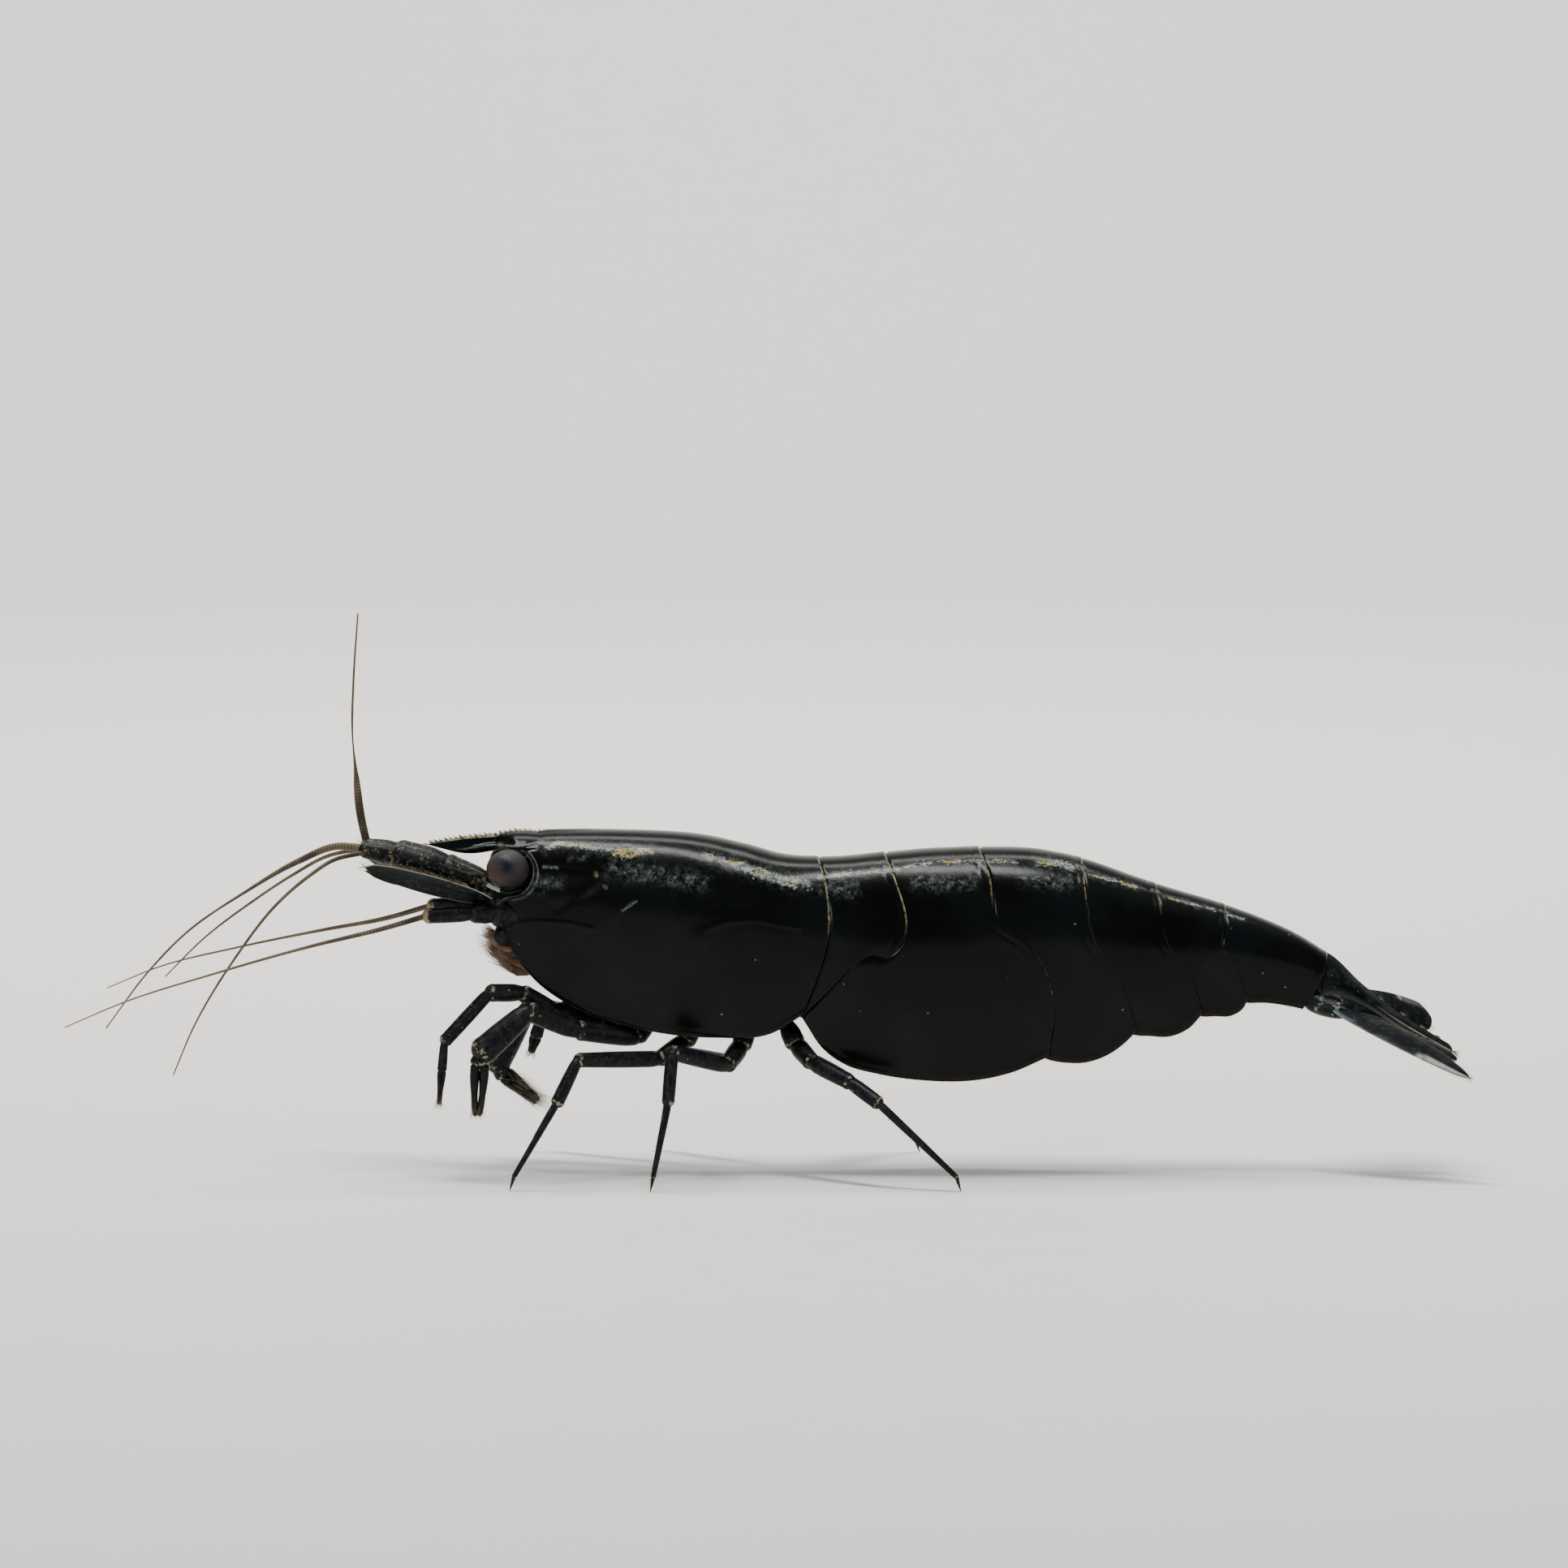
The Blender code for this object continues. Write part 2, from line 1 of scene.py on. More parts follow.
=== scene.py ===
"""Aquarium shrimp, a still model at life size: its looks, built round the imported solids.

The head points along -X, the back is up and the animal's left side faces -Y. Shapes are worked
out in millimetres, and go into the meshes in metres.
"""

import math

import bmesh
import bpy
import numpy as np
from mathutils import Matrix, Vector


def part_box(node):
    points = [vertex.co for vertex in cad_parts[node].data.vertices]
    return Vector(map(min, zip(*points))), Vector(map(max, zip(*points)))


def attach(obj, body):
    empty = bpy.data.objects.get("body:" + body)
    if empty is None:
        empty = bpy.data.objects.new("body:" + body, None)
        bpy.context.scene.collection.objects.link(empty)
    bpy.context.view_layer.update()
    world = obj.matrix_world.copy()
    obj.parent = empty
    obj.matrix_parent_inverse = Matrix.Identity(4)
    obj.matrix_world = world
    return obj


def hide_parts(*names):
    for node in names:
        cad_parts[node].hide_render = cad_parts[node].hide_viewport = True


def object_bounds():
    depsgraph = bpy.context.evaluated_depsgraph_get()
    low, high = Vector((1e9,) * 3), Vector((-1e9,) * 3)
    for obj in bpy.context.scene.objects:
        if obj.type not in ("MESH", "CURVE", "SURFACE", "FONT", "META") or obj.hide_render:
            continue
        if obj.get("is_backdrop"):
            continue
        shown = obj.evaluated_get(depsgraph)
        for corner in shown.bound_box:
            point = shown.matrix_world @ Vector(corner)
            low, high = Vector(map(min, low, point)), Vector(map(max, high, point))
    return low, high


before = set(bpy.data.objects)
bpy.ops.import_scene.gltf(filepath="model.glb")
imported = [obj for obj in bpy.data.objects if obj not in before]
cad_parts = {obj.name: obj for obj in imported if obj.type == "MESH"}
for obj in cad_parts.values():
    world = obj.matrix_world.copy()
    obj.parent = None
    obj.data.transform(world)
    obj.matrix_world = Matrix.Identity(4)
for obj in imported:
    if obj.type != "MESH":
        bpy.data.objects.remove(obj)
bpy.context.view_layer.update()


# Shell skin.
# The animal's coat is thin chitin, wet and nearly black over dark flesh. It carries clouds of
# grey-blue pigment, pale flecks that glint, gold film in the joints and brown, clearer margins. The
# pale, blue and gold streaks along its upper flanks are a painted highlight laid over pigment
# flecks, and the lighter tone along its back is a painted sheen.

MM = 0.001


def node(tree, kind, wires=(), **settings):
    """Adds a shader node. wires gives inputs by name or number: a value, or an output to join."""
    made = tree.nodes.new("ShaderNode" + kind)
    for key, value in settings.items():
        setattr(made, key, value)
    for key, value in dict(wires).items():
        if isinstance(value, bpy.types.NodeSocket):
            tree.links.new(value, made.inputs[key])
        else:
            made.inputs[key].default_value = value
    return made


def calc(tree, operation, a, b=0.0, clamp=False):
    """One sum on numbers or outputs."""
    return node(tree, "Math", {0: a, 1: b}, operation=operation, use_clamp=clamp).outputs[0]


def times(tree, a, b):
    """The product of a and b."""
    return calc(tree, "MULTIPLY", a, b)


def plus(tree, a, b, clamp=False):
    """The sum of a and b, kept within 0 and 1 where clamp is set."""
    return calc(tree, "ADD", a, b, clamp)


def scaled(tree, value, factor, base):
    """value times factor, plus base."""
    return plus(tree, times(tree, value, factor), base)


def noise(tree, spot, scale, detail, roughness=0.5):
    """Cloudy noise between 0 and 1 at a spot, with scale swells to the millimetre."""
    return node(tree, "TexNoise", {"Vector": spot, "Scale": scale, "Detail": detail,
                                   "Roughness": roughness}).outputs["Fac"]


def rise(tree, value, low, high):
    """A smooth step: 0 below low, 1 above high. Swapped ends make it fall."""
    if low <= high:
        wires = {"Value": value, "From Min": low, "From Max": high}
    else:
        wires = {"Value": value, "From Min": high, "From Max": low, "To Min": 1.0, "To Max": 0.0}
    return node(tree, "MapRange", wires, interpolation_type="SMOOTHSTEP").outputs[0]


def tint(tree, share, under, over, strength=1.0):
    """Colour over painted on colour under, by share times strength."""
    if strength != 1.0:
        share = times(tree, share, strength)
    under, over = (c if isinstance(c, bpy.types.NodeSocket) else (*c, 1.0) for c in (under, over))
    return node(tree, "Mix", {0: share, 6: under, 7: over}, data_type="RGBA").outputs[2]


def mark(tree, name):
    """A value that the mesh carries at each point."""
    return node(tree, "Attribute", attribute_name=name).outputs["Fac"]


def place(tree, stretch=(1.0, 1.0, 1.0)):
    """Where a point lies on the model, in millimetres."""
    spot = node(tree, "TexCoord").outputs["Object"]
    return node(tree, "VectorMath", {0: spot, 1: tuple(s / MM for s in stretch)},
                operation="MULTIPLY").outputs[0]


def new_group(name, numbers, outputs):
    """A node group with a Place input, number inputs {name: value} and value outputs."""
    tree = bpy.data.node_groups.new(name, "ShaderNodeTree")
    tree.interface.new_socket("Place", in_out="INPUT", socket_type="NodeSocketVector")
    for key, value in numbers.items():
        socket = tree.interface.new_socket(key, in_out="INPUT", socket_type="NodeSocketFloat")
        socket.default_value = value
    for key in outputs:
        tree.interface.new_socket(key, in_out="OUTPUT", socket_type="NodeSocketFloat")
    ins = tree.nodes.new("NodeGroupInput").outputs
    outs = tree.nodes.new("NodeGroupOutput").inputs
    return tree, ins, outs


def fleck_group():
    """Pigment flecks: ragged cells of a set size, of which only a share is painted."""
    tree, ins, outs = new_group("pigment_flecks", {"Size": 0.1, "Share": 0.5}, ["Mask", "Hue"])
    per_mm = calc(tree, "DIVIDE", 1.0, ins["Size"])
    ragged = node(tree, "TexNoise", {"Vector": ins["Place"], "Scale": per_mm, "Detail": 3.0})
    push = node(tree, "VectorMath", {0: ragged.outputs["Color"], 1: (0.5, 0.5, 0.5)},
                operation="SUBTRACT").outputs[0]
    reach = times(tree, ins["Size"], 1.1)
    push = node(tree, "VectorMath", {0: push, "Scale": reach}, operation="SCALE").outputs[0]
    spot = node(tree, "VectorMath", {0: ins["Place"], 1: push}, operation="ADD").outputs[0]
    cells = node(tree, "TexVoronoi", {"Vector": spot, "Scale": per_mm})
    draw = node(tree, "SeparateColor", {0: cells.outputs["Color"]})
    painted = calc(tree, "LESS_THAN", draw.outputs[0], ins["Share"])
    core = rise(tree, cells.outputs["Distance"], 0.62, 0.30)
    tree.links.new(times(tree, painted, core), outs["Mask"])
    tree.links.new(draw.outputs[1], outs["Hue"])
    return tree


def grain_group():
    """Skin relief: shallow pits of a set size over a faint leathery swell."""
    tree, ins, outs = new_group("skin_grain", {"Pits": 0.05, "Swell": 0.35}, ["Height", "Mottle"])
    pits = node(tree, "TexVoronoi", {"Vector": ins["Place"],
                                     "Scale": calc(tree, "DIVIDE", 1.0, ins["Pits"])},
                feature="SMOOTH_F1")
    swell = noise(tree, ins["Place"], calc(tree, "DIVIDE", 1.0, ins["Swell"]), 5.0, 0.6)
    pit_depth = times(tree, rise(tree, pits.outputs["Distance"], 0.0, 0.45), 0.22)
    tree.links.new(plus(tree, pit_depth, swell), outs["Height"])
    tree.links.new(swell, outs["Mottle"])
    return tree


FLECKS, GRAIN = fleck_group(), grain_group()


def put_group(tree, group, spot, **numbers):
    """Places a node group at a spot on the skin, with its own values."""
    return node(tree, "Group", {"Place": spot, **numbers}, node_tree=group).outputs


def coat(name, **sockets):
    """A material with one Principled shader, its plain sockets set: material, tree, shader."""
    made = bpy.data.materials.new(name)
    made.use_nodes = True
    shader = made.node_tree.nodes["Principled BSDF"]
    for key, value in sockets.items():
        shader.inputs[key.replace("_", " ")].default_value = value
    return made, made.node_tree, shader


def finish_coat(tree, shader, colour, roughness, height=None, relief=0.01):
    """Joins a colour, a roughness and a relief in millimetres to the shader."""
    for value, key in ((colour, "Base Color"), (roughness, "Roughness")):
        tree.links.new(value, shader.inputs[key])
    if height is not None:
        bump = node(tree, "Bump", {"Strength": 1.0, "Distance": relief * MM, "Height": height})
        tree.links.new(bump.outputs[0], shader.inputs["Normal"])


JET = (0.0012, 0.0013, 0.0013)
JET_BLUE, BACK_SHEEN_GREEN = (0.0028, 0.0040, 0.0046), (0.0055, 0.0070, 0.0055)
CLOUD_BLUE, CLOUD_PALE = (0.030, 0.040, 0.040), (0.20, 0.235, 0.22)
# Colours of the painted highlight streaks on the upper flanks
SHEEN_STREAK_BLUE, SHEEN_STREAK_PALE, SHEEN_STREAK_GOLD = (0.13, 0.18, 0.19), (0.25, 0.28, 0.25), (0.36, 0.27, 0.085)
RIDGE_AND_GLINT_PALE, FILM_GREEN, FILM_GOLD = (0.20, 0.24, 0.22), (0.13, 0.155, 0.10), (0.31, 0.255, 0.10)
FLECK_GOLD, FLECK_WHITE = (0.62, 0.43, 0.13), (0.50, 0.53, 0.50)
MARGIN_BROWN = (0.012, 0.0085, 0.005)


def shell_coat():
    """Wet black shell. The mesh's marks say where clouds, streaks, gold film and margins lie. The
    streaks are a painted highlight with pigment flecks in it, and the back's lighter tone is a
    painted sheen.
    """
    made, tree, shader = coat("wet_black_shell", Specular_IOR_Level=0.13, IOR=1.45)
    spot = place(tree)
    grain = put_group(tree, GRAIN, spot, Pits=0.06, Swell=0.5)
    broad = noise(tree, spot, 0.45, 4.0)
    colour = tint(tree, rise(tree, broad, 0.42, 0.68), JET, JET_BLUE)
    # Painted sheen: the back is a lighter green-black, where light from above falls on it.
    colour = tint(tree, mark(tree, "back"), colour, BACK_SHEEN_GREEN, 0.85)
    veil = noise(tree, spot, 5.5, 6.0, 0.68)
    feather = noise(tree, place(tree, (1, 1, 0.55)), 11.0, 6.0, 0.78)
    cloud = times(tree, mark(tree, "cloud"), rise(tree, veil, 0.40, 0.66))
    colour = tint(tree, cloud, colour, CLOUD_BLUE)
    wisp = times(tree, cloud, rise(tree, feather, 0.46, 0.66))
    colour = tint(tree, wisp, colour, CLOUD_PALE, 0.75)
    # Painted highlight: a grained band of pale blue and gold along the upper flank, standing for the
    # lamp's reflection there, with pigment flecks set in it.
    gathered = noise(tree, place(tree, (0.8, 1, 1)), 1.7, 4.0, 0.7)
    bright = times(tree, mark(tree, "glint"), rise(tree, gathered, 0.28, 0.50))
    crumbs = noise(tree, place(tree, (0.75, 1, 1)), 13.0, 4.0, 0.62)
    drift = noise(tree, place(tree, (0.5, 1, 1)), 4.2, 3.0)
    streak = rise(tree, plus(tree, bright, times(tree, crumbs, 3.0)), 1.85, 2.75)
    hue = tint(tree, rise(tree, drift, 0.40, 0.50), SHEEN_STREAK_BLUE, SHEEN_STREAK_PALE)
    hue = tint(tree, rise(tree, drift, 0.52, 0.60), hue, SHEEN_STREAK_GOLD)
    colour = tint(tree, times(tree, streak, rise(tree, bright, 0.04, 0.40)), colour, hue)
    glint = put_group(tree, FLECKS, spot, Size=0.040, Share=times(tree, bright, 0.16))
    hue = tint(tree, rise(tree, glint["Hue"], 0.35, 0.45), FLECK_GOLD, FLECK_WHITE)
    colour = tint(tree, glint["Mask"], colour, hue, 0.7)
    lone = put_group(tree, FLECKS, spot, Size=0.060, Share=0.0006)
    colour = tint(tree, lone["Mask"], colour, CLOUD_PALE, 0.6)
    margin = times(tree, mark(tree, "margin"), rise(tree, veil, 0.30, 0.60))
    colour = tint(tree, margin, colour, MARGIN_BROWN, 0.8)
    broken = rise(tree, noise(tree, spot, 9.0, 3.0), 0.34, 0.52)
    film = times(tree, mark(tree, "film"), broken)
    hue = tint(tree, rise(tree, veil, 0.43, 0.57), FILM_GREEN, FILM_GOLD)
    colour = tint(tree, film, colour, hue)
    # Pale lines: the beak's ridge and the orbit's rims, and one painted glint low on the shield.
    pale = times(tree, mark(tree, "pale"), rise(tree, feather, 0.36, 0.56))
    colour = tint(tree, pale, colour, RIDGE_AND_GLINT_PALE)
    rough = scaled(tree, grain["Mottle"], 0.14, 0.12)
    rough = plus(tree, rough, times(tree, cloud, 0.15), clamp=True)
    finish_coat(tree, shader, colour, rough, grain["Height"], relief=0.005)
    return made


WET_SHELL = shell_coat()


# Carapace and rostrum.
# One shield over head and trunk, moulded in a piece with the toothed beak between the eyes. It is
# stiff and hangs free down both flanks; its front edge is cut out round the eyes with a thin rim.

# Half width of the body along X: (x, half width)
HALF_WIDTHS = [(-7.8, 1.1), (-6.5, 1.3), (-5.0, 1.55), (-3.0, 1.72), (-1.0, 1.78), (1.2, 1.70),
               (2.6, 1.8), (4.5, 1.9), (6.5, 1.86), (8.5, 1.7), (10.5, 1.45), (12.5, 1.2),
               (14.0, 1.02), (16.0, 0.8)]
# The line of the back, and the smooth line of the belly that the flanks run down to: (x, z)
BACK = [(-6.85, 9.84), (-5.0, 9.90), (-3.6, 9.88), (-2.2, 9.78), (-0.8, 9.49), (0.2, 9.21),
        (1.19, 9.12), (3.1, 9.24), (4.3, 9.35), (5.8, 9.40), (7.8, 9.31), (8.74, 9.10),
        (10.87, 8.37), (12.87, 7.76), (13.9, 7.39), (15.0, 6.9), (15.91, 6.35)]
BELLY = [(-7.7, 6.5), (-6.8, 5.6), (-5.9, 4.96), (-3.8, 4.2), (-1.0, 3.95), (1.0, 3.75), (2.6, 3.2),
         (4.5, 2.84), (6.8, 3.0), (8.9, 3.3), (11.3, 4.0), (13.1, 4.6), (15.2, 4.8)]
# Joint lines of the shell from the back down to the rim, and the rims between them: (x, z)
JOINT_LINES = [
    [(-7.34, 9.80), (-7.38, 9.46), (-7.14, 9.29), (-6.96, 9.05), (-6.90, 8.80), (-6.96, 8.53),
     (-7.12, 8.28), (-7.36, 8.12), (-7.62, 8.07), (-7.80, 7.98), (-7.66, 7.74), (-7.68, 7.27),
     (-7.60, 6.69)],
    [(1.19, 9.12), (1.37, 8.53), (1.48, 7.13), (1.18, 5.92), (0.72, 4.74)],
    [(3.10, 9.24), (3.39, 8.54), (3.70, 7.21), (2.46, 5.70), (1.14, 4.29)],
    [(5.80, 9.40), (6.06, 8.70), (6.30, 7.40), (7.30, 6.60), (7.90, 5.10), (7.74, 3.52)],
    [(8.74, 9.10), (8.82, 8.18), (9.06, 6.84), (9.85, 5.60), (10.30, 4.22)],
    [(10.87, 8.37), (10.95, 7.90), (11.15, 6.80), (11.85, 5.76), (12.20, 4.69)],
    [(12.87, 7.76), (12.85, 7.40), (12.75, 6.61), (13.20, 5.85), (13.50, 5.10)],
    [(15.91, 6.35), (15.80, 5.95), (15.52, 5.25), (15.16, 4.78)],
]
RIMS = [
    [(-7.60, 6.69), (-7.28, 6.12), (-6.82, 5.61), (-5.89, 4.96), (-3.80, 4.27), (-1.71, 4.04),
     (-0.09, 4.16), (0.72, 4.74)],
    [(0.72, 4.74), (0.93, 4.50), (1.14, 4.29)],
    [(1.14, 4.29), (1.45, 3.66), (2.09, 3.24), (2.90, 3.02), (4.13, 2.84), (5.80, 2.84),
     (6.80, 3.05), (7.74, 3.52)],
    [(7.74, 3.52), (8.30, 3.32), (8.88, 3.31), (9.50, 3.50), (10.05, 3.88), (10.30, 4.22)],
    [(10.30, 4.22), (10.70, 4.06), (11.32, 4.03), (11.85, 4.24), (12.20, 4.69)],
    [(12.20, 4.69), (12.60, 4.60), (13.07, 4.60), (13.40, 4.78), (13.50, 5.10)],
    [(13.50, 5.10), (14.09, 4.97), (14.80, 4.86), (15.16, 4.78)],
]
SHOULDER, TUCK = 0.42, 0.14      # depth share where the sides are widest; how far they draw in
WALL = 0.09                      # thickness of the shell
OVERLAP = 0.10                   # how far a plate runs on over the one behind it


def ramp(value, start, width):
    """A straight rise from 0 at start to 1 a width further on; it falls where width is negative."""
    return np.clip((value - start) / width, 0, 1)


def eased(share):
    """A share with its start and end made gentle: 3 times its square less 2 times its cube."""
    return share**2 * (3 - 2 * share)


def bell(value, middle, width, power=2):
    """1 at the middle, falling to 1/e a width away: exp of minus (distance / width) ^ power."""
    return np.exp(-((value - middle) / width) ** power)


def crowded(count):
    """Shares from 0 to 1 that crowd towards both ends: half of 1 less the cosine of 0 to pi."""
    return 0.5 - 0.5 * np.cos(np.linspace(0, math.pi, count))


def smooth_through(keys, values, at):
    """Cubic curve through the values at rising keys, with slopes taken from the neighbours."""
    keys, values, at = (np.asarray(a, float) for a in (keys, values, at))
    slopes = np.gradient(values, keys, axis=0)
    at = np.clip(at, keys[0], keys[-1])
    i = np.clip(np.searchsorted(keys, at, side="right") - 1, 0, len(keys) - 2)
    wide = at.shape + (1,) * (values.ndim - 1)
    span = (keys[i + 1] - keys[i]).reshape(wide)
    s = (at - keys[i]).reshape(wide) / span
    return ((2 * s**3 - 3 * s**2 + 1) * values[i] + (s**3 - 2 * s**2 + s) * slopes[i] * span
            + (3 * s**2 - 2 * s**3) * values[i + 1] + (s**3 - s**2) * slopes[i + 1] * span)


def line_height(line, x):
    """z of a line of (x, z) points at x."""
    keys, heights = zip(*line)
    return smooth_through(keys, heights, x)


def along(points, u):
    """Places at shares u of the length of a smooth line through the points."""
    points = np.asarray(points, float)
    steps = np.linalg.norm(np.diff(points, axis=0), axis=1)
    keys = np.concatenate([[0.0], np.cumsum(steps)])
    return smooth_through(keys / keys[-1], points, u)


def offset(line, distance):
    """The line of (x, z) points moved sideways by a distance, towards +X where positive."""
    line = np.asarray(line, float)
    slope = np.gradient(line, axis=0)
    across = np.stack([-slope[:, 1], slope[:, 0]], axis=1)
    return line + distance * across / np.linalg.norm(across, axis=1)[:, None]


def depth_share(x, z):
    """How far down a flank a point is: 0 on the back's line, 1 on the belly's."""
    back = line_height(BACK, x)
    return ramp(z, back, line_height(BELLY, x) - back)


def breadth(x, z):
    """Half width of the body: a round back over sides that tuck in below the shoulder."""
    t = depth_share(x, z)
    back = np.sqrt(1 - (1 - np.minimum(t / SHOULDER, 1)) ** 2.2)
    below = ramp(t, SHOULDER, 1 - SHOULDER)
    return line_height(HALF_WIDTHS, x) * back * (1 - TUCK * below**2)


def near(grid, route, width):
    """1 on a route of (x, z) points, seen from the side, falling off smoothly over width mm."""
    route = np.asarray(route, float)
    a, b = route[:-1], route[1:]
    spot = grid[..., [0, 2]][..., None, :]
    share = np.clip(((spot - a) * (b - a)).sum(-1) / ((b - a) ** 2).sum(-1), 0, 1)
    gap = np.linalg.norm(spot - a - share[..., None] * (b - a), axis=-1).min(-1)
    return bell(gap, 0, width)


def outward(grid):
    """Unit normals of a grid, from the cross product of its two slopes."""
    n = np.cross(np.gradient(grid, axis=0), np.gradient(grid, axis=1))
    return n / np.maximum(np.linalg.norm(n, axis=2), 1e-12)[..., None]


def run_length(grid, axis):
    """Distance along the grid's lines from their first point."""
    steps = np.linalg.norm(np.diff(grid, axis=axis), axis=2)
    start = np.zeros_like(np.take(steps, [0], axis=axis))
    return np.concatenate([start, np.cumsum(steps, axis=axis)], axis=axis)


def roll(distance, radius):
    """Quarter round: how far a margin drops within a radius of its edge."""
    inner = radius - np.minimum(distance, radius)
    return radius - np.sqrt(radius**2 - inner**2)


def grid_quads(rows, columns, first=0):
    """The corners of a grid's faces, as point numbers counted row by row from first."""
    index = first + np.arange(rows * columns).reshape(rows, columns)
    return np.stack([index[:-1, :-1], index[1:, :-1], index[1:, 1:], index[:-1, 1:]],
                    axis=-1).reshape(-1, 4)


def skin(name, sheets, nodes, finish, marks=(), wall=0.0):
    """One piece from sheets, grids of (rows, columns, values); values are x, y, z, then marks.

    Neighbours on a grid share a face, points in the same place merge, and the faces turn outwards.
    The UV map Skin runs 0 to 1 along both ways of each sheet.
    """
    quads, shares, first = [], [], 0
    for sheet in sheets:
        rows, columns = sheet.shape[:2]
        quads.append(grid_quads(rows, columns, first))
        across, down = np.meshgrid(np.linspace(0, 1, columns), np.linspace(0, 1, rows))
        shares.append(np.stack([down, across], axis=-1).reshape(-1, 2))
        first += rows * columns
    points = np.concatenate([sheet.reshape(-1, sheet.shape[2])[:, :3 + len(marks)]
                             for sheet in sheets])
    quads, shares = np.concatenate(quads), np.concatenate(shares)
    mesh = bpy.data.meshes.new(name)
    mesh.vertices.add(len(points))
    mesh.vertices.foreach_set("co", (points[:, :3] * MM).ravel())
    mesh.loops.add(quads.size)
    mesh.loops.foreach_set("vertex_index", quads.ravel())
    mesh.polygons.add(len(quads))
    mesh.polygons.foreach_set("loop_start", np.arange(len(quads)) * 4)
    mesh.update(calc_edges=True)
    mesh.uv_layers.new(name="Skin").uv.foreach_set("vector", shares[quads.ravel()].ravel())
    for i, key in enumerate(marks):
        mesh.attributes.new(key, "FLOAT", "POINT").data.foreach_set(
            "value", np.ascontiguousarray(points[:, 3 + i]))
    work = bmesh.new()
    work.from_mesh(mesh)
    bmesh.ops.remove_doubles(work, verts=work.verts, dist=1e-4 * MM)
    bmesh.ops.recalc_face_normals(work, faces=work.faces)
    work.to_mesh(mesh)
    work.free()
    mesh.shade_smooth()
    return piece(name, mesh, nodes, finish, wall)


def piece(name, mesh, nodes, finish, wall=0.0):
    """Puts a mesh on the model, in place of its solids, with a wall thickness where it is open."""
    made = bpy.data.objects.new(name, mesh)
    bpy.context.scene.collection.objects.link(made)
    mesh.materials.append(finish)
    if wall:
        walled = made.modifiers.new("wall", "SOLIDIFY")
        walled.thickness, walled.offset = wall * MM, -1.0
    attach(made, "root")
    if nodes:
        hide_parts(*nodes)
    return made


def unit(v):
    """The direction of v, or of each row of v."""
    v = np.asarray(v, float)
    return v / np.maximum(np.linalg.norm(v, axis=-1), 1e-12)[..., None]


DRAW = np.random.default_rng(11)         # every random draw, always in the same order
HAIR_RINGS, HAIR_SIDES = 5, 3            # rings along a bristle, and sides round it
PATCH = 0.003                            # a bristle's breadth on the OFBake map
ROOT_DEPTH = 0.02                        # how far a bristle's root is sunk in the skin, in mm
TIP_SIZE = 0.08                          # a bristle's size at its tip, as a share of its root's


def scattered(low, high, count):
    """Random places on a sheet: shares of its rows between low and high, and of its columns."""
    return DRAW.uniform(low, high, count), DRAW.uniform(0, 1, count)


def bed(sheet, at, around, length, thick, lean=0.6, spread=0.15, bow=0.0, toward=None):
    """Bristles rooted on a sheet at shares of its rows and columns: root, tip, bend, size, place.

    Each points out from its ring's middle plus lean times the way along the sheet, or toward a
    set way, with a random turn of spread. Its bend is bow times its length, along the sheet.
    """
    at, around = (np.ravel(v) for v in np.broadcast_arrays(at, around))
    rows, columns = sheet.shape[:2]
    i = np.round(at * (rows - 1)).astype(int)
    j = np.round(around * (columns - 1)).astype(int)
    middle = sheet[:, :-1, :3].mean(axis=1)
    ahead = unit(np.gradient(middle, axis=0))[i]
    root = sheet[i, j, :3]
    way = unit(root - middle[i]) + lean * ahead if toward is None else np.array(toward, float)
    way = unit(way + spread * DRAW.normal(size=root.shape))
    reach = length * np.clip(1 + 0.2 * DRAW.normal(size=(len(i), 1)), 0.5, 1.5)
    return np.concatenate([root - ROOT_DEPTH * way, root + way * reach, bow * ahead * reach,
                           np.full((len(i), 1), thick), at[:, None], around[:, None]], axis=1)


